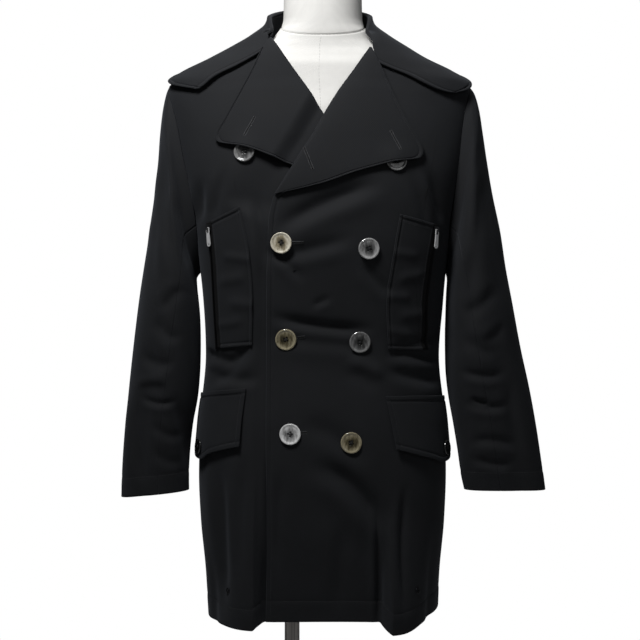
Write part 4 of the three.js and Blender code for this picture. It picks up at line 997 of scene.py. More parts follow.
def add_bump(tree, shader, height, strength, distance):
    node = add_node(tree, "ShaderNodeBump", Strength=strength, Distance=distance)
    tree.links.new(height, node.inputs["Height"])
    tree.links.new(node.outputs["Normal"], shader.inputs["Normal"])


def shade(color, factor):
    return tuple(channel * factor for channel in color)


def twill_material(color):
    """Black twill: fine slanting ribs, a softer mottle of lint and pressing, and a faint cool sheen."""

    def build(tree, shader):
        ribs = waves(tree, pattern_place(tree, turn=math.radians(58)), 150, 0.6)
        crosswise = waves(tree, pattern_place(tree, turn=math.radians(-32)), 210, 0.4)
        weave = blend(tree, ribs, crosswise, 0.3)
        lint = noise(tree, pattern_place(tree), 900, 2)
        mottle = noise(tree, pattern_place(tree), 16, 4)
        tone = blend(tree, blend(tree, mottle, lint, 0.35), weave, 0.18)
        tree.links.new(
            ramp(tree, tone, [(0.3, shade(color, 0.72)), (0.5, color), (0.72, shade(color, 1.4))]),
            shader.inputs["Base Color"],
        )
        rough = add_node(tree, "ShaderNodeMapRange")
        rough.inputs["To Min"].default_value = 0.72
        rough.inputs["To Max"].default_value = 0.92
        tree.links.new(mottle, rough.inputs["Value"])
        tree.links.new(rough.outputs["Result"], shader.inputs["Roughness"])
        shader.inputs["Specular IOR Level"].default_value = 0.22
        shader.inputs["Sheen Weight"].default_value = 0.06
        shader.inputs["Sheen Roughness"].default_value = 0.55
        shader.inputs["Sheen Tint"].default_value = (0.8, 0.87, 1, 1)
        add_bump(tree, shader, blend(tree, weave, lint, 0.4), 0.35, 0.0004)

    return node_material("black_twill", build)


def plain_cloth_material(name, color, scale):
    """A dense plain weave of crossing threads, a little uneven."""

    def build(tree, shader):
        warp = waves(tree, pattern_place(tree), scale, 0.8)
        weft = waves(tree, pattern_place(tree, turn=math.pi / 2), scale, 0.8)
        uneven = noise(tree, pattern_place(tree), 60, 4)
        tone = blend(tree, blend(tree, warp, weft, 0.5), uneven, 0.5)
        tree.links.new(
            ramp(tree, tone, [(0.25, shade(color, 0.86)), (0.75, color)]), shader.inputs["Base Color"]
        )
        shader.inputs["Roughness"].default_value = 0.9
        shader.inputs["Specular IOR Level"].default_value = 0.2
        add_bump(tree, shader, blend(tree, warp, weft, 0.5), 0.3, 0.0004)

    return node_material(name, build)


def thread_material(name, color):
    def build(tree, shader):
        twist = waves(tree, pattern_place(tree, source="Object"), 400, 1)
        tree.links.new(
            ramp(tree, twist, [(0.2, shade(color, 0.7)), (0.8, color)]), shader.inputs["Base Color"]
        )
        shader.inputs["Roughness"].default_value = 0.7
        shader.inputs["Specular IOR Level"].default_value = 0.3

    return node_material(name, build)


def horn_material(name, middle, light, dark_share=0.16):
    """Polished horn: dark, middle and light streaks, with a gloss. It is darker to a button's middle and
    lighter at its rim: partly the horn's own tone, partly painted shade in the dish and a painted highlight
    round the rim.
    """

    def build(tree, shader):
        streaks = noise(tree, pattern_place(tree, scale=(2.2, 1, 0.8), source="Object"), 120, 5, 0.68)
        apart = add_node(tree, "ShaderNodeSeparateXYZ")
        tree.links.new(pattern_place(tree), apart.inputs["Vector"])
        # Painted shade and highlight: light at the rim and dark in the dish, by the map's run along the
        # profile.
        inward = add_node(tree, "ShaderNodeMapRange")
        inward.inputs["From Min"].default_value = 0.0175
        inward.inputs["From Max"].default_value = 0.0285
        inward.inputs["To Min"].default_value = 0.8
        inward.inputs["To Max"].default_value = 0.12
        tree.links.new(apart.outputs["Y"], inward.inputs["Value"])
        tone = blend(tree, streaks, inward.outputs["Result"], 0.42)
        stops = [(0.36, shade(middle, dark_share)), (0.5, middle), (0.63, light)]
        tree.links.new(ramp(tree, tone, stops), shader.inputs["Base Color"])
        shader.inputs["Roughness"].default_value = 0.16
        shader.inputs["Coat Weight"].default_value = 0.5
        shader.inputs["Coat Roughness"].default_value = 0.08

    return node_material(name, build)


def metal_material(name, color, roughness, streak_scale, metallic=1.0, dull=0.9):
    """Metal mottled by fine noise from its colour to a duller tone, with uneven roughness. Where the colour
    is bright and barely metallic, as on the pole and the zip pull, it is a painted reflection, and the pole's
    long upright streaks are painted reflections too.
    """

    def build(tree, shader):
        # On the pole this noise, stretched upright, gives painted reflection streaks; on the other metals it
        # is a fine mottle.
        marks_and_reflection_streaks = noise(tree, pattern_place(tree, scale=streak_scale, source="Object"), 60, 4)
        tree.links.new(
            ramp(tree, marks_and_reflection_streaks, [(0.3, shade(color, dull)), (0.7, color)]), shader.inputs["Base Color"]
        )
        rough = add_node(tree, "ShaderNodeMapRange")
        rough.inputs["To Min"].default_value = roughness * 0.8
        rough.inputs["To Max"].default_value = roughness * 1.25
        tree.links.new(marks_and_reflection_streaks, rough.inputs["Value"])
        tree.links.new(rough.outputs["Result"], shader.inputs["Roughness"])
        shader.inputs["Metallic"].default_value = metallic

    return node_material(name, build)


def material(name):
    """The material of a name, made with the panel's colours when it is first asked for."""
    if name not in bpy.data.materials:
        colors = bpy.context.scene.coat_colors
        makers = {
            "black_twill": lambda: twill_material(tuple(colors.twill)),
            "black_thread": lambda: thread_material("black_thread", tuple(colors.thread)),
            "hole_thread": lambda: thread_material("hole_thread", (0.075, 0.077, 0.082)),
            "hole_shadow": lambda: thread_material("hole_shadow", (0.001, 0.001, 0.001)),
            "black_tape": lambda: plain_cloth_material("black_tape", (0.006, 0.006, 0.0065), 600),
            "cream_horn": lambda: horn_material(
                "cream_horn", tuple(colors.cream_horn), (0.78, 0.73, 0.6), 0.14
            ),
            "olive_horn": lambda: horn_material("olive_horn", tuple(colors.brown_horn), (0.34, 0.3, 0.2)),
            "ash_horn": lambda: horn_material("ash_horn", tuple(colors.ash_horn), (0.86, 0.86, 0.86)),
            "grey_horn": lambda: horn_material("grey_horn", tuple(colors.grey_horn), (0.42, 0.42, 0.42)),
            "smoke_horn": lambda: horn_material("smoke_horn", tuple(colors.dark_horn), (0.2, 0.2, 0.2)),
            "black_horn": lambda: horn_material("black_horn", (0.004, 0.004, 0.004), (0.02, 0.02, 0.02)),
            "linen_cover": lambda: plain_cloth_material("linen_cover", tuple(colors.linen), 330),
            "linen_seam": lambda: thread_material("linen_seam", shade(tuple(colors.linen), 0.62)),
            "smoked_nickel": lambda: metal_material("smoked_nickel", (0.16, 0.16, 0.17), 0.35, (1, 1, 3)),
            # The zip pull's nickel: a near-white, barely metallic colour, a painted reflection.
            "nickel_painted_reflection": lambda: metal_material(
                "nickel_painted_reflection", (0.95, 0.95, 0.96), 0.3, (1, 1, 3), metallic=0.3
            ),
            "blackened_brass": lambda: metal_material("blackened_brass", (0.03, 0.03, 0.032), 0.4, (1, 1, 1)),
            # The pole's chrome: a near-white, barely metallic colour with long upright streaks, painted
            # reflections of the room.
            "chrome_painted_reflections": lambda: metal_material(
                "chrome_painted_reflections", (1, 0.94, 0.88), 0.12, (5, 5, 0.02), metallic=0.1, dull=0.25
            ),
            "foot_steel": lambda: metal_material("foot_steel", (0.6, 0.61, 0.62), 0.3, (1, 1, 1)),
        }
        makers[name]()
    return bpy.data.materials[name]


def body_panel(name, shares, start_at, end_at, out_at, replaces, stitched=()):
    """A panel of the body between two lines of angle by height; its rows bend to the hem and the neck."""
    low = np.concatenate([
        np.linspace(HEM, HEM + 24, 11)[:-1],
        np.linspace(HEM + 24, HEM + 34, 11)[:-1],
        np.linspace(HEM + 34, ARMHOLE_BOTTOM, 105),
    ])
    arm = ARMHOLE_MIDDLE - ARMHOLE_HALF * np.cos(math.pi * np.linspace(0, 1, 70))
    high = mix(ARMHOLE_TOP, NECK, np.linspace(0, 1, 18))
    nominal = np.concatenate([low[:-1], arm[:-1], high])[:, None]
    height = nominal
    for _ in range(3):
        angle = mix(start_at(height), end_at(height), shares[None])
        height = row_height(angle, nominal)
    middle = coat_point(angle, height, out_at(angle, height) - CLOTH / 2)
    return cloth(
        name, middle, CLOTH, material("black_twill"), replaces, stitched=stitched
    )


def front_shares(first, folded, rest):
    """Columns of a front: from its own edge, then close together on its skirt fold, then to its side."""
    start, end = FOLD_SHARES
    return np.concatenate([
        close_at(first, low=0.6)[:-1] * start,
        np.linspace(start, end, folded)[:-1],
        mix(end, 1, close_at(rest, high=0.4)),
    ])


def edge_angle(lapel, side, edge_at, height):
    """A front starts under its lapel where the lapel's roll ends."""
    tuck = np.where(height < BREAK, 0, side * (ROLL_RADIUS + LAPEL_SEAM))
    return front_angle(edge_at(height) + tuck, height)


def right_edge(height):
    """The right front's own edge is the mirror of the left one, drawn in under its lapel's lower end."""
    drawn_in = (ROLL_RADIUS + LAPEL_SEAM) * ease(height, BREAK - 40, BREAK - 11)
    return np.where(height < BREAK, -left_edge(height) - drawn_in, roll_across(RIGHT_LAPEL, height))


def right_depth(angle, height):
    depth = mix(UNDER_EDGE, UNDER_LAPEL, ease(height, BREAK - 45, BREAK - 8))
    return depth * covered(body_point(angle, height)[..., 0], height, FRONT_FADE)


def level_out(angle, height):
    return 0.0


def make_fronts():
    left = body_panel(
        "left_front_cloth",
        front_shares(66, 36, 66),
        lambda height: edge_angle(LEFT_LAPEL, 1, left_edge, height),
        lambda height: side_line(height, 1),
        level_out,
        ["left_front"],
        stitched=(("bottom", HEM_STITCHING, 0.35), ("left", FREE_EDGE_STITCHING, 0.7)),
    )
    right = body_panel(
        "right_front_cloth",
        front_shares(44, 36, 66),
        lambda height: edge_angle(RIGHT_LAPEL, -1, right_edge, height),
        lambda height: -side_line(height, 1),
        right_depth,
        ["right_front"],
        stitched=(("bottom", HEM_STITCHING, 0.35),),
    )
    path, facing = inset_path(left, "left", FREE_EDGE_STITCHING, low=6.0, high=235.0)
    edge_thread = add_thread("left_front_edge_stitching", [stitches(path, facing)], material("black_thread"))
    hems = [stitches(*inset_path(panel, "bottom", HEM_STITCHING, 2.0, 2.0)) for panel in (left, right)]
    hem_thread = add_thread("front_hem_stitching", hems, material("black_thread"))
    return {"left": left, "right": right}


def make_backs():
    def centre(height):
        return math.pi - turn_for(SEAM / 2, math.pi, height)

    panels = []
    for side_name, side in SIDES.items():
        panel = body_panel(
            f"{side_name}_back_cloth",
            close_at(100, low=0.3, high=0.4),
            lambda height: side * centre(height),
            lambda height: side * side_line(height, -1),
            level_out,
            [f"{side_name}_back"],
            stitched=(("bottom", HEM_STITCHING, 0.35),),
        )
        panels.append(panel)
    rows = [stitches(*inset_path(panel, "bottom", HEM_STITCHING, 2.0, 2.0)) for panel in panels]
    rows.append(stitches(*inset_path(panels[0], "left", BACK_SEAM_STITCHING, 8.0, 8.0)))
    thread = add_thread("back_stitching", rows, material("black_thread"))


def lapel_middle(side_name, share, theta, reach):
    """Middle of a lapel's cloth: first the turn of its roll by angle theta, then flat out to its edge.

    share runs from the collar down to the break. The roll is half a circle; beside it the lapel bows out, and
    it swells over the top button under it. Where the left front covers it, it sinks in.
    """
    lapel, button = LAPELS[side_name], TOP_BUTTONS[side_name]
    roll, edge = (
        np.stack([along(lapel, "share", f"{line}_{way}", share) for way in ("across", "height")], axis=-1)
        for line in ("roll", "edge")
    )
    drop = 2 * SEAM * (1 - ease(share, 0, 0.1))
    roll[:, 1] -= drop
    edge[:, 1] -= drop
    length = np.linalg.norm(edge - roll, axis=1)[:, None]
    distance = np.concatenate([
        np.broadcast_to(ROLL_RADIUS * (1 - np.cos(theta)), (len(share), len(theta))),
        ROLL_RADIUS + (length - ROLL_RADIUS) * reach[None],
    ], axis=1)
    risen = np.concatenate([(1 + np.sin(theta)) / 2, np.ones(len(reach))])[None]
    spot = roll[:, None] + (edge - roll)[:, None] * (distance / length)[..., None]
    across, height = spot[..., 0], spot[..., 1]
    press = covered(across, height, LAPEL_FADE) if side_name == "right" else np.zeros(across.shape)
    base = mix(-CLOTH / 2, UNDER_LAPEL - CLOTH / 2, press)
    top = mix(2 * ROLL_RADIUS - CLOTH / 2, TUCKED_LAPEL, press)
    bow = (distance / SWELL_REACH) * np.exp(1 - distance / SWELL_REACH) * LAPEL_SWELL * (1 - share[:, None])
    away = np.hypot(across - button[0], height - button[1])
    lift = BUTTON_SWELL * np.exp(-((away / SWELL_REACH) ** 2))
    flat = np.concatenate([np.zeros(len(theta)), np.ones(len(reach))])[None]
    out = mix(base, top, risen) + flat * (bow + lift) * (1 - press)
    return coat_point(front_angle(across, height), height, out)


def make_lapels():
    panels = {}
    for side_name in SIDES:
        share = close_at(170, low=0.3, high=0.5)
        theta = np.radians(np.linspace(-90, 90, 13))
        reach = close_at(64, low=0.6, high=0.7)[1:]
        middle = lapel_middle(side_name, share, theta, reach)
        panel = cloth(
            f"{side_name}_lapel_cloth", middle, CLOTH, material("black_twill"),
            [f"{side_name}_lapel"], stitched=(("right", COLLAR_STITCHING, 0.9),),
        )
        path, facing = inset_path(panel, "right", COLLAR_STITCHING, low=4.0, high=2.0)
        rows = [stitches(path, facing, finer=0.85)]
        thread = add_thread(f"{side_name}_lapel_stitching", rows, material("black_thread"))
        panels[side_name] = panel
    return panels


def leaf_half(side_name):
    """Middle of one half of the collar leaf, from its gorge and fold to its outer edge.

    At the gorge the leaf lies flat on the lapel. Past it the leaf turns over its fold on half a circle, and
    then falls to its edge, away from the shoulder, on its own wider sections.
    """
    table, side = LEAVES[side_name], SIDES[side_name]
    share = close_at(150, low=0.7)[:, None]
    fold_angle, fold_height, edge_angle_, edge_height = (
        along(table, "share", name, share)
        for name in ("fold_angle", "fold_height", "edge_angle", "edge_height")
    )
    fold_angle, edge_angle_ = side * np.radians(fold_angle), side * np.radians(edge_angle_)
    turned, lifted = ease(share, 0.07, 0.15), ease(share, 0.02, 0.16)
    flat_out = 2 * ROLL_RADIUS - CLOTH / 2
    bow = LEAF_BOW * (1 - ease(share, 0, 0.15))

    def between(reach):
        angle = mix(fold_angle, edge_angle_, reach)
        height = mix(fold_height, edge_height, reach) - 4 * bow * reach * (1 - reach)
        out = (flat_out + 2 * reach)[..., None]
        near = body_point(angle, height) + outward(body_point, angle, height) * out
        free = leaf_point(angle, height) - outward(leaf_point, angle, height) * (CLOTH / 2)
        return mix(near, free, np.maximum(lifted, ease(reach, 0.15, 0.6))[..., None])

    ends = between(np.array([[0.0, 1.0]]) + 0 * share)
    span = np.linalg.norm(ends[:, 1] - ends[:, 0], axis=1)[:, None]
    theta = np.radians(np.linspace(-90, 90, 13))[None]
    top = body_point(fold_angle, fold_height)
    out = outward(body_point, fold_angle, fold_height)
    up = unit(body_point(fold_angle, fold_height + 1) - body_point(fold_angle, fold_height - 1))
    rolled = top + out * (-CLOTH / 2 + ROLL_RADIUS * (1 + np.sin(theta)))[..., None]
    rolled = rolled - up * (ROLL_RADIUS * (1 - np.cos(theta)))[..., None]
    step = (theta / math.pi + 0.5) * 0.8 * LEAF_ROLL / span
    roll = mix(between(step), rolled, turned[..., None])
    start = (LEAF_ROLL + 1.5) / span
    rest = between(mix(start, 1.0, close_at(56, low=0.4, high=0.7)[None]))
    return np.concatenate([roll, rest], axis=1)


def make_collar():
    left, right = leaf_half("left"), leaf_half("right")
    middle = np.concatenate([left[:-1], right[::-1]])
    leaf = cloth(
        "collar_leaf_cloth", middle, CLOTH, material("black_twill"), ["collar_leaf"],
        stitched=[(edge, COLLAR_STITCHING, 0.9) for edge in ("right", "bottom", "top")],
    )
    lines = (("right", None), ("bottom", 9.0), ("top", 9.0))
    rows = [stitches(*inset_path(leaf, edge, COLLAR_STITCHING, low), finer=0.85) for edge, low in lines]
    thread = add_thread("collar_stitching", rows, material("black_thread"))
    degrees = np.linspace(-(360 - STAND_START), -STAND_START, 140)
    from_front = np.where(degrees < -180, 360 + degrees, -degrees)
    low = neck_height(np.radians(from_front)) + SEAM
    folds = [along(LEAVES[name], "fold_angle", "fold_height", from_front) for name in ("left", "right")]
    high = np.where(degrees < -180, folds[0], folds[1]) - ROLL_RADIUS - STAND_SEAM
    share = np.linspace(0, 1, 14)[:, None]
    angle = np.broadcast_to(np.radians(degrees), (14, len(degrees)))
    height = mix(low[None], high[None], share)
    middle = body_point(angle, height) - outward(body_point, angle, height) * (CLOTH / 2)
    stand = cloth("collar_stand_cloth", middle, CLOTH, material("black_twill"), ["collar_stand"])


def sleeve_rings(side_name, turn):
    """Outer face of a sleeve: the armhole's loop, then rings that lean between their outer and inner side.

    turn runs round a ring from its outer side by way of the front. A ring is a superellipse with its own
    depth to the front and the back, pressed in along its long soft troughs. Returns the rings and, for each
    of their points, the middle of its ring.
    """
    table, side = SLEEVES[side_name], SIDES[side_name]
    height = ARMHOLE_MIDDLE + ARMHOLE_HALF * np.cos(turn)
    depth = ARMHOLE_DEPTH - ARMHOLE_HALF_DEPTH * np.sin(turn)
    first = body_point(side * depth_angle(depth, height), height)
    first[:, 0] += side * SLEEVE_START
    rings = [first]
    middles = [np.stack([first[:, 0], 0 * turn + ARMHOLE_DEPTH, 0 * turn + ARMHOLE_MIDDLE], -1)]
    count = len(table["depth"])
    for index in range(count):
        row = {key: values[index] for key, values in table.items()}
        high = np.array([side * row["out_across"], row["depth"], row["out_height"]])
        low = np.array([side * row["in_across"], row["depth"], row["in_height"]])
        centre, axis = (high + low) / 2, (high - low) / 2
        sine, cosine = np.sin(turn), np.cos(turn)
        up_share = np.sign(cosine) * np.abs(cosine) ** SLEEVE_SQUARENESS
        front_share = np.sign(sine) * np.abs(sine) ** SLEEVE_SQUARENESS
        deep = np.where(sine > 0, row["front"], row["back"])
        point = centre + axis * up_share[:, None]
        point[:, 1] -= deep * front_share
        normal = axis * (cosine / axis.dot(axis))[:, None]
        normal[:, 1] -= sine / deep
        place = (index + 1) / count
        push = np.zeros(len(turn))
        for middle, spread, out, start, end in zip(*SLEEVE_TROUGHS.values()):
            run = ease(place, start, start + 0.15) * (1 - ease(place, end - 0.2, end))
            push += out * bell(np.degrees(turn % (2 * math.pi)) - middle, spread) * run
        rings.append(point + unit(normal) * push[:, None])
        middles.append(centre + 0 * point)
    return np.stack(rings), np.stack(middles)


def smooth_rows(grid, count):
    """Rows drawn through a grid's rows on cubics with central slopes, evenly spaced in its own steps."""
    place = np.linspace(0, len(grid) - 1, count)
    row = np.minimum(place.astype(int), len(grid) - 2)
    t = (place - row)[:, None, None]
    slope = np.gradient(grid, axis=0)
    start = grid[row] * (1 + 2 * t) * (1 - t) ** 2 + slope[row] * t * (1 - t) ** 2
    end = grid[row + 1] * (3 - 2 * t) * t**2 - slope[row + 1] * t**2 * (1 - t)
    return start + end


def make_sleeves():
    cuff_rows = []
    for side_name, side in SIDES.items():
        rows = 170
        place = np.linspace(0, 1, rows)[:, None]
        front = mix(SEAM_FRONT_TOP, SEAM_FRONT_CUFF, ease(place, 0, 0.7))
        back = mix(SEAM_BACK_TOP, SEAM_BACK_CUFF, ease(place, 0, 0.7))
        fine = np.radians(np.linspace(-150, 300, 451))
        rings, middles = sleeve_rings(side_name, fine)
        rings, middles = smooth_rows(rings, rows), smooth_rows(middles, rows)
        spans = {
            "upper": (back - 360 + SLEEVE_GAP, front - SLEEVE_GAP, 96),
            "under": (front + SLEEVE_GAP, back - SLEEVE_GAP, 70),
        }
        for part, (start, end, count) in spans.items():
            turn = mix(start, end, close_at(count, low=0.5, high=0.5)[None])
            at = turn + 150
            column = np.minimum(at.astype(int), 449)
            share = (at - column)[..., None]
            line = np.arange(rows)[:, None]
            face = mix(rings[line, column], rings[line, column + 1], share)
            heart = mix(middles[line, column], middles[line, column + 1], share)
            normal = grid_normals(face, heart)
            facing = np.sin(np.radians(turn))
            fade = ease(place, 0.0, 0.06)
            push = crease_push(SLEEVE_CREASES, facing, face[..., 0], face[..., 2]) * fade
            push += slow_waves(np.radians(turn) / 2 + side, face[..., 2]) * 0.8 * fade
            middle = face + normal * (push - CLOTH / 2)[..., None]
            panel = cloth(
                f"{side_name}_{part}_sleeve_cloth", middle, CLOTH, material("black_twill"),
                [f"{side_name}_{part}_sleeve"], away_from=heart, stitched=(("top", CUFF_STITCHING, 0.3),),
            )
            cuff_rows.append(stitches(*inset_path(panel, "top", CUFF_STITCHING, low=1.0, high=1.0)))
    thread = add_thread("cuff_stitching", cuff_rows, material("black_thread"))


def pocket_middle(side_name, share, inset, outset, count, out):
    """Points of a chest pocket between two lines beside its outer edge, moved out from the front."""
    table, side = CHEST_POCKETS[side_name], SIDES[side_name]
    share = share[:, None]
    out_across, out_height, in_across, in_height = (
        along(table, "share", name, share) for name in ("out_across", "out_height", "in_across", "in_height")
    )
    start = out_across - side * inset
    end = in_across if outset is None else out_across - side * outset
    across = mix(start, end, close_at(count, low=0.5, high=0.5)[None])
    whole = (out_across - across) / (out_across - in_across)
    height = mix(out_height, in_height, whole)
    lift = sum(
        rise * bell(height - z - tilt * (whole - 0.5), width)
        * ease(whole, start, start + 0.25) * ease(end, whole, whole + 0.3)
        for pocket, z, tilt, start, end, rise, width in zip(*POCKET_PUCKERS.values())
        if pocket == side
    )
    return coat_point(front_angle(across, height), height, out + lift)


def make_chest_pockets():
    pockets = {}
    for side_name in SIDES:
        share = close_at(120, low=0.4, high=0.4)
        middle = pocket_middle(side_name, share, ZIP_WIDTH + SEAM, None, 54, ON_CLOTH + PATCH_CLOTH / 2)
        pocket = cloth(
            f"{side_name}_chest_pocket_cloth", middle, PATCH_CLOTH, material("black_twill"),
            [f"{side_name}_chest_pocket"],
            stitched=[(edge, POCKET_BORDER, 0.8) for edge in ("top", "right", "bottom")],
        )
        lines = [(edge, POCKET_STITCHING) for edge in ("right", "bottom", "left", "top")]
        lines.append(("top", POCKET_TOP_STITCHING))
        rows = [stitches(*inset_path(pocket, edge, inset, low=2.0, high=2.0)) for edge, inset in lines]
        thread = add_thread(f"{side_name}_chest_pocket_stitching", rows, material("black_thread"))
        pockets[side_name] = pocket
    return pockets


def add_teeth(name, middle, facing):
    """Closed zip teeth along a line: small blocks in two interlocking rows, half a pitch apart."""
    run = np.concatenate([[0], np.cumsum(np.linalg.norm(np.diff(middle, axis=0), axis=1))])
    pitch = 0.95
    at = pitch * (np.arange(int(run[-1] / pitch)) + 0.5)

    def take(values):
        return np.stack([np.interp(at, run, values[:, i]) for i in range(3)], axis=-1)

    point, out = take(middle), unit(take(facing))
    up = unit(np.gradient(point, axis=0))
    beside = np.cross(up, out)
    point = point + beside * (0.45 * (-1.0) ** np.arange(len(at)))[:, None]
    corner = np.array([(x, y, z) for z in (-1, 1) for x, y in ((-1, 0), (1, 0), (0.8, 1), (-0.8, 1))], float)
    size = corner * np.array([1.25, 0.75, 0.36])
    axes = (beside, out, up)
    points = point[:, None] + sum(size[:, i, None] * axis[:, None] for i, axis in enumerate(axes))
    block = np.array([[0, 1, 2, 3], [7, 6, 5, 4], [0, 4, 5, 1], [1, 5, 6, 2], [2, 6, 7, 3], [3, 7, 4, 0]])
    quads = (block + 8 * np.arange(len(at))[:, None, None]).reshape(-1, 4)
    points = points.reshape(-1, 3)
    brass = material("blackened_brass")
    return add_piece(name, points, quads, points[:, :2], brass, smooth=False)


def make_zips():
    for side_name in SIDES:
        share = np.linspace(0, 1, 90)
        middle = pocket_middle(side_name, share, 0.0, ZIP_WIDTH, 18, ON_CLOTH + ZIP_THICK / 2)
        tape = cloth(
            f"{side_name}_zip_tape_cloth", middle, ZIP_THICK, material("black_tape"),
            [f"{side_name}_zip_tape"],
        )
        path, facing = inset_path(tape, "left", ZIP_WIDTH / 2, low=1.5, high=12.0)
        teeth = add_teeth(f"{side_name}_zip_teeth", path, facing)
        # The pull's near-white colour is a painted reflection.
        for part, look in (("slider", "smoked_nickel"), ("pull", "nickel_painted_reflection")):
            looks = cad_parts[f"{side_name}_zip_{part}"].data.materials
            looks.clear()
            looks.append(material(look))


def make_flaps():
    for side_name, button_share, button_reach in (("left", 0.76, 0.8), ("right", 0.74, 0.82)):
        table = FLAPS[side_name]
        share, reach = close_at(84, low=0.6, high=0.6)[None], close_at(60, low=0.5, high=0.6)[:, None]
        top_angle, top, bottom_angle, bottom = (
            along(table, "share", name, share) for name in ("top_angle", "top", "bottom_angle", "bottom")
        )
        angle = np.radians(mix(top_angle, bottom_angle, reach))
        out = ON_CLOTH + PATCH_CLOTH / 2 + FLAP_STAND_OFF * reach**1.3 + 0 * share
        middle = coat_point(angle, mix(top, bottom, reach), out)
        flap = cloth(
            f"{side_name}_flap_cloth", middle, PATCH_CLOTH, material("black_twill"),
            [f"{side_name}_flap"],
            stitched=[(edge, FLAP_STITCHING, 0.7) for edge in ("left", "right", "top", "bottom")],
        )
        lines = (("left", 8.5), ("right", 8.5), ("top", 7.0), ("bottom", 1.0))
        rows = [stitches(*inset_path(flap, edge, FLAP_STITCHING, low, 7.0)) for edge, low in lines]
        thread = add_thread(f"{side_name}_flap_stitching", rows, material("black_thread"))
        place = int(np.argmin(np.abs(reach - button_reach))), int(np.argmin(np.abs(share - button_share)))
        radius = bpy.context.scene.coat_sizes.flap_button_width / 2 / MM
        add_button(
            f"{side_name}_flap_button", flap["outer"][place], flap["normal"][place], radius, 3.2, 1.6, 0.8,
            0.35, 40.0, "black_horn",
        )


def add_button(name, point, out, radius, thick, rim, dish, seat, turned, look):
    """A turned button: rings of a profile from the middle of its back over its rim to the middle of its dish.

    The profile is drawn through its corners on smooth curves. Four holes are sunk into the dish, each a soft
    round pit, and two crossing threads run from hole to hole.
    """
    corner_radius = np.array([0.0, 0.82, 0.97, 1.0, 0.985, 0.94]) * radius
    corner_height = np.array([0.0, 0.0, 0.3, 0.5, 0.85, 1.0]) * thick
    side = np.linspace(0, 5, 26)
    back = np.stack([np.interp(side, np.arange(6), values) for values in (corner_radius, corner_height)])
    r = mix(0.94 * radius, 0.2, np.linspace(0, 1, 42)[1:])
    inward = radius - r
    bowl = thick - dish * (ease(inward, rim * 0.7, rim * 2.3) + 0.25 * ease(inward, rim * 2, radius))
    profile_r, profile_z = np.concatenate([back[0][1:], r]), np.concatenate([back[1][1:], bowl])
    theta = np.linspace(0, 2 * math.pi, 72, endpoint=False)
    x, z = profile_r[:, None] * np.cos(theta), profile_r[:, None] * np.sin(theta)
    y = profile_z[:, None] + 0 * x
    spread, hole = 0.19 * radius, 0.085 * radius
    quarter = np.radians(turned + 90 * np.arange(4))
    holes = np.stack([spread * np.cos(quarter), spread * np.sin(quarter)], axis=-1)
    front = (np.arange(len(profile_r)) >= 25)[:, None]
    for hole_x, hole_z in holes:
        away = np.hypot(x - hole_x, z - hole_z)
        y = y - front * 1.9 * (1 - ease(away, hole * 0.75, hole * 1.25))
    axes = local_frame(point, out)
    local = np.stack([x, y + seat, z], axis=-1)
    tube(f"{name}_horn", place_in(axes, point, local), material(look), [name], map_scale=15.2 / radius)
    surface = thick - dish * 1.25 + seat
    ends = [np.array([hole_x, surface - 0.1, hole_z]) for hole_x, hole_z in holes]
    start, end = (place_in(axes, point, np.stack(pair)) for pair in ((ends[0], ends[1]), (ends[2], ends[3])))
    rows = [threads(start, end, np.stack([out, out]), 0.5)]
    add_thread(f"{name}_thread", rows, material("black_thread"))


def make_buttons():
    radius = bpy.context.scene.coat_sizes.button_width / 2 / MM
    for name, across, height, seat, turned, look in BUTTONS:
        angle = float(front_angle(np.array(across), np.array(height)))
        point = coat_point(angle, height)
        out = outward(body_point, np.array(angle), np.array(float(height)))
        add_button(name, point, out, radius, 3.6, 1.9, 1.0, seat, turned, look)


def make_seams(fronts, pockets):
    """The dart and princess seams of the fronts and a pocket: fine thread-shaped lines of painted shade sunk
    in the cloth.
    """
    rows = []
    panels = {
        "left_front": fronts["left"],
        "right_front": fronts["right"],
        "left_chest_pocket": pockets["left"],
    }
    for owner, *places in SEAM_LINES:
        x, z = np.array(places, float).T
        at, corners = np.linspace(0, len(x) - 1, 60), np.arange(len(x))
        point, out = on_panel(panels[owner], np.interp(at, corners, x), np.interp(at, corners, z))
        rows.append(thread_row(point - 0.12 * out, out, 4.0, 4.4, 0.3))
    add_thread("dart_seams", rows, material("hole_shadow"))


def make_buttonholes(fronts, lapels):
    """Keyhole buttonholes: a slit of painted shade with close stitches square to it, and a ring of them round
    its eye, which holds a disc of painted shade.
    """
    panels = {
        "left_front": fronts["left"],
        "left_lapel": lapels["left"],
        "right_lapel": lapels["right"],
    }
    slits, rims = [], []
    for owner, x0, z0, x1, z1 in BUTTONHOLES:
        length = math.hypot(x1 - x0, z1 - z0)
        count = int(length / 0.85)
        share = (np.arange(count) + 0.5) / count
        point, out = on_panel(panels[owner], mix(x0, x1, share), mix(z0, z1, share))
        direction = unit(point[-1:] - point[:1])
        beside = np.cross(out, direction)
        for side in (-1, 1):
            rims.append(threads(point + beside * side * 0.6, point + beside * side * 2.3, out, 0.4))
        # The slit's near-black threads are painted shade in the cut.
        slits.append(threads(point - direction * 0.8, point + direction * 0.8, out, 0.6))
        eye, up = on_panel(panels[owner], x1, z1)
        turn = np.linspace(0, 2 * math.pi, 14, endpoint=False)[:, None]
        spoke = direction * np.cos(turn) + np.cross(up, direction) * np.sin(turn)
        rims.append(threads(eye + spoke * 1.0, eye + spoke * 2.5, np.repeat(up, 14, axis=0), 0.34))
        # A near-black disc in the eye: painted shade in the hole.
        slits.append(threads(eye - direction * 1.3, eye + direction * 1.3, up, 1.15))
    add_thread("buttonhole_edges", rims, material("hole_thread"))
    add_thread("buttonhole_slits", slits, material("hole_shadow"))


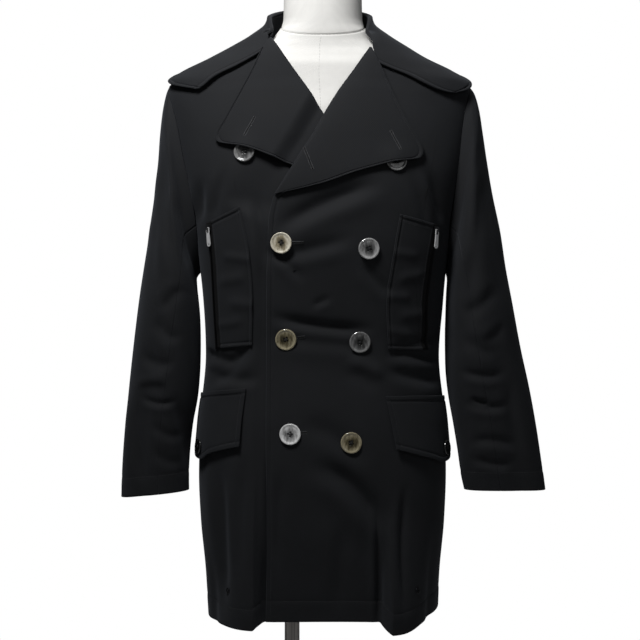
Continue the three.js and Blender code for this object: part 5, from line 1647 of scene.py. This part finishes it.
def make_eyelets():
    """Rings round the hem's eyelet holes: a small circle carried round a larger one."""
    for name, across, height in EYELETS:
        angle = float(front_angle(np.array(across), np.array(height)))
        point = coat_point(angle, height, 0.3)
        out = outward(body_point, np.array(angle), np.array(float(height)))
        turn = np.linspace(0, 2 * math.pi, 40, endpoint=False)[:, None]
        ring = np.linspace(0, 2 * math.pi, 14, endpoint=False)[None]
        r = 3.15 + 1.25 * np.cos(ring)
        local = np.stack([r * np.cos(turn), 0.7 + 0.7 * np.sin(ring) + 0 * turn, r * np.sin(turn)], axis=-1)
        local = np.concatenate([local, local[:1]])
        place = place_in(local_frame(point, out), point, local)
        rows, cols = place.shape[:2]
        quads = grid_quads(rows, cols, wrap=True) % ((rows - 1) * cols)
        points = place[:-1].reshape(-1, 3)
        brass = material("blackened_brass")
        add_piece(f"{name}_ring", points, quads, points[:, :2], brass, [name])


def make_form():
    """The form's sections as closed rings, with a fine seam round its neck; closed flat below and on top."""
    fine = np.concatenate([
        np.linspace(770, 776, 6)[:-1], np.linspace(776, 1400, 110)[:-1], np.linspace(1400, 1460, 40)[:-1],
        np.linspace(1460, 1494, 70)[:-1], np.linspace(1494, 1544, 20)[:-1], np.linspace(1544, 1550, 10),
    ])[:, None]
    angle = np.linspace(0, 2 * math.pi, 128, endpoint=False)[None]

    def seam_height(angle):
        return mix(NECK_SEAM_FRONT, NECK_SEAM_BACK, (1 - np.cos(angle)) / 2)

    seam = -1.0 * bell(fine - seam_height(angle), 0.9)
    rings = on_section(FORM, angle, fine + 0 * angle, seam)
    tube("dress_form_linen", rings, material("linen_cover"), ["dress_form"])
    turn = np.linspace(0, 2 * math.pi, 200)
    heights = np.linspace(786, 1466, 160)
    paths = [on_section(FORM, turn, seam_height(turn), -0.75)]
    paths += [on_section(FORM, middle + 0 * heights, heights, -0.1) for middle in (0.0, math.pi)]
    rows = [thread_row(path, path * np.array([1, 1, 0.0]), 5.0, 5.4, 0.32) for path in paths]
    add_thread("form_seams", rows, material("linen_seam"))


def make_stand():
    """Pole and foot as circles carried up profiles; the foot's crown, hub and rim are rounded."""
    theta = np.linspace(0, 2 * math.pi, 96, endpoint=False)[None]

    def lathe(name, radius, height, look, node):
        radius, height = radius[:, None], height[:, None]
        x, y = POLE_ACROSS + radius * np.cos(theta), radius * np.sin(theta)
        tube(name, np.stack([x, y, height + 0 * theta], axis=-1), material(look), [node])

    low, high = HUB_HEIGHT + SEAM, FORM["height"][0] - SEAM
    ends = np.array([0.0, 0.4, 0.8])
    heights = np.concatenate([low + ends, np.linspace(low + 2, high - 2, 60), high - ends[::-1]])
    bevel = 0.5 * (1 - np.minimum(np.minimum(heights - low, high - heights) / 0.8, 1))
    lathe("stand_pole_tube", POLE_RADIUS - bevel, heights, "chrome_painted_reflections", "stand_pole")
    corner_r = np.array([
        1, FOOT_RADIUS - 2, FOOT_RADIUS, FOOT_RADIUS - 1, HUB * 2, HUB, HUB * 0.8, HUB * 0.72, 1
    ])
    corner_z = np.array([
        0, 0, 2, FOOT_RIM, FOOT_CROWN, FOOT_CROWN + 3, HUB_HEIGHT - 2, HUB_HEIGHT, HUB_HEIGHT
    ])
    at = np.linspace(0, 8, 97)
    radius, height = (np.interp(at, np.arange(9), values.astype(float)) for values in (corner_r, corner_z))
    kernel = np.array([1, 2, 3, 2, 1]) / 9
    radius[2:-2], height[2:-2] = np.convolve(radius, kernel, "valid"), np.convolve(height, kernel, "valid")
    lathe("stand_foot_disc", radius, height, "foot_steel", "stand_base")


def make_stage():
    """Floor, lights, white surroundings and the photograph's level camera."""
    scene = bpy.context.scene
    stage = scene.coat_stage
    floor_mesh = bpy.data.meshes.new("floor")
    corners = [(-4.0, -4.0, 0), (4.0, -4.0, 0), (4.0, 3.1, 0), (-4.0, 3.1, 0)]
    floor_mesh.from_pydata(corners, [], [(0, 1, 2, 3)])
    floor_mesh.materials.append(node_material("floor_white", floor_nodes))
    floor = bpy.data.objects.new("floor", floor_mesh)
    scene.collection.objects.link(floor)
    world = bpy.data.worlds.new("white_room")
    world.use_nodes = True
    tree = world.node_tree
    dim = tree.nodes["Background"]
    dim.inputs["Color"].default_value = (0.94, 0.97, 1, 1)
    dim.inputs["Strength"].default_value = stage.surroundings
    seen = add_node(tree, "ShaderNodeBackground", Strength=1.0)
    seen.inputs["Color"].default_value = (1, 1, 1, 1)
    choice = add_node(tree, "ShaderNodeMixShader")
    tree.links.new(add_node(tree, "ShaderNodeLightPath").outputs["Is Camera Ray"], choice.inputs["Fac"])
    tree.links.new(dim.outputs["Background"], choice.inputs[1])
    tree.links.new(seen.outputs["Background"], choice.inputs[2])
    tree.links.new(choice.outputs["Shader"], tree.nodes["World Output"].inputs["Surface"])
    scene.world = world
    for name, place, aim, size, power in (
        ("key_light", (-0.36, -0.7, 2.2), (-0.02, -0.12, 1.64), 0.35, stage.key_power),
        ("fill_light", (1.7, -2.3, 2.2), (0, 0, 1.45), 1.2, stage.fill_power),
        ("top_light", (0.1, 0.5, 2.9), (0, 0, 1.3), 1.2, stage.top_power),
    ):
        light = bpy.data.lights.new(name, "AREA")
        light.shape = "SQUARE"
        light.size = size
        light.energy = power
        lamp = bpy.data.objects.new(name, light)
        lamp.location = place
        lamp.rotation_euler = (Vector(aim) - Vector(place)).to_track_quat("-Z", "Y").to_euler()
        scene.collection.objects.link(lamp)
    camera_data = bpy.data.cameras.new("photo_camera")
    camera_data.sensor_width = 36
    camera_data.lens = stage.lens
    camera = bpy.data.objects.new("photo_camera", camera_data)
    camera.location = stage.camera_place
    camera.rotation_euler = (math.pi / 2, 0, 0)
    scene.collection.objects.link(camera)
    scene.camera = camera
    scene.view_settings.view_transform = "Standard"


def floor_nodes(tree, shader):
    mottle = noise(tree, pattern_place(tree, source="Object"), 3)
    tree.links.new(
        ramp(tree, mottle, [(0.3, (0.8, 0.8, 0.8)), (0.7, (0.84, 0.84, 0.84))]), shader.inputs["Base Color"]
    )
    shader.inputs["Roughness"].default_value = 0.8


def color_property(name, description, default):
    return FloatVectorProperty(
        name=name, description=description, default=default, size=3, subtype="COLOR", min=0, max=1
    )


class CoatColors(PropertyGroup):
    """Colours of the coat's cloth and trim, and of the form."""

    twill: color_property("Twill", "Colour of the coat's outer cloth", (0.0105, 0.0112, 0.0128))
    thread: color_property("Thread", "Colour of the stitching", (0.035, 0.036, 0.039))
    cream_horn: color_property("Cream horn", "Middle tone of the edge's second button", (0.36, 0.31, 0.21))
    brown_horn: color_property("Brown horn", "Middle tone of the olive brown buttons", (0.11, 0.092, 0.05))
    ash_horn: color_property("Ash horn", "Middle tone of the lowest button at the free edge", (0.4, 0.4, 0.4))
    grey_horn: color_property("Grey horn", "Middle tone of the grey button on the chest", (0.15, 0.15, 0.15))
    dark_horn: color_property("Dark horn", "Middle tone of the dark grey buttons", (0.06, 0.06, 0.06))
    linen: color_property("Linen", "Colour of the dress form's cover", (0.86, 0.85, 0.82))


class CoatSizes(PropertyGroup):
    """Sizes of the sewing and of the buttons."""

    stitch_pitch: FloatProperty(
        name="Stitch pitch", description="Distance from one stitch to the next", default=0.0032, unit="LENGTH"
    )
    stitch_width: FloatProperty(
        name="Thread width", description="Width of the stitching thread", default=0.0006, unit="LENGTH"
    )
    button_width: FloatProperty(
        name="Button width", description="Width of the eight front buttons", default=0.0304, unit="LENGTH"
    )
    flap_button_width: FloatProperty(
        name="Flap button width", description="Width of the buttons on the flaps", default=0.0228,
        unit="LENGTH",
    )


class CoatStage(PropertyGroup):
    """The camera and the lights."""

    lens: FloatProperty(
        name="Lens", description="Focal length of the photograph's camera", default=98.8,
        subtype="DISTANCE_CAMERA",
    )
    camera_place: FloatVectorProperty(
        name="Camera place", description="Where the level camera stands", default=(-0.0037, -2.6, 1.05),
        size=3, subtype="TRANSLATION", unit="LENGTH",
    )
    key_power: FloatProperty(
        name="Key power", description="Power of the light at the left", default=15, subtype="POWER"
    )
    fill_power: FloatProperty(
        name="Fill power", description="Power of the light at the right", default=4, subtype="POWER"
    )
    top_power: FloatProperty(
        name="Top power", description="Power of the light above", default=7, subtype="POWER"
    )
    surroundings: FloatProperty(
        name="Surroundings", description="Strength of the white room's light", default=0.055, min=0
    )


class COAT_OT_body(Operator):
    """Makes the fronts, the backs, the chest pockets and the flaps, with their buttons, holes and eyelets"""

    bl_idname = "coat.body"
    bl_label = "Body, pockets and buttons"

    def execute(self, context):
        fronts = make_fronts()
        make_backs()
        lapels = make_lapels()
        pockets = make_chest_pockets()
        make_zips()
        make_flaps()
        make_buttons()
        make_buttonholes(fronts, lapels)
        make_seams(fronts, pockets)
        make_eyelets()
        return {"FINISHED"}


class COAT_OT_collar(Operator):
    """Makes the collar's leaf and stand"""

    bl_idname = "coat.collar"
    bl_label = "Collar"

    def execute(self, context):
        make_collar()
        return {"FINISHED"}


class COAT_OT_sleeves(Operator):
    """Makes both two-piece sleeves"""

    bl_idname = "coat.sleeves"
    bl_label = "Sleeves"

    def execute(self, context):
        make_sleeves()
        return {"FINISHED"}


class COAT_OT_form(Operator):
    """Makes the dress form with its pole and foot"""

    bl_idname = "coat.form"
    bl_label = "Dress form and stand"

    def execute(self, context):
        make_form()
        make_stand()
        return {"FINISHED"}


class COAT_OT_stage(Operator):
    """Makes the floor, the lights and the camera"""

    bl_idname = "coat.stage"
    bl_label = "Stage"

    def execute(self, context):
        make_stage()
        return {"FINISHED"}


class COAT_PT_panel(Panel):
    """Lists the coat's settings and the operators that make its pieces"""

    bl_label = "Pea coat"
    bl_idname = "COAT_PT_panel"
    bl_space_type = "VIEW_3D"
    bl_region_type = "UI"
    bl_category = "Coat"

    def draw(self, context):
        scene = context.scene
        for group in (scene.coat_colors, scene.coat_sizes, scene.coat_stage):
            box = self.layout.box()
            for name in group.__annotations__:
                box.prop(group, name)
        for operator in OPERATORS:
            self.layout.operator(operator.bl_idname)


OPERATORS = (COAT_OT_stage, COAT_OT_form, COAT_OT_body, COAT_OT_collar, COAT_OT_sleeves)
GROUPS = {"coat_colors": CoatColors, "coat_sizes": CoatSizes, "coat_stage": CoatStage}
CLASSES = (*GROUPS.values(), *OPERATORS, COAT_PT_panel)


def register():
    for cls in CLASSES:
        bpy.utils.register_class(cls)
    for name, group in GROUPS.items():
        setattr(bpy.types.Scene, name, PointerProperty(type=group))


def unregister():
    for name in GROUPS:
        delattr(bpy.types.Scene, name)
    for cls in reversed(CLASSES):
        bpy.utils.unregister_class(cls)


def main():
    register()
    bpy.ops.coat.stage()
    bpy.ops.coat.form()
    bpy.ops.coat.body()
    bpy.ops.coat.collar()
    bpy.ops.coat.sleeves()


if __name__ == "__main__":
    main()
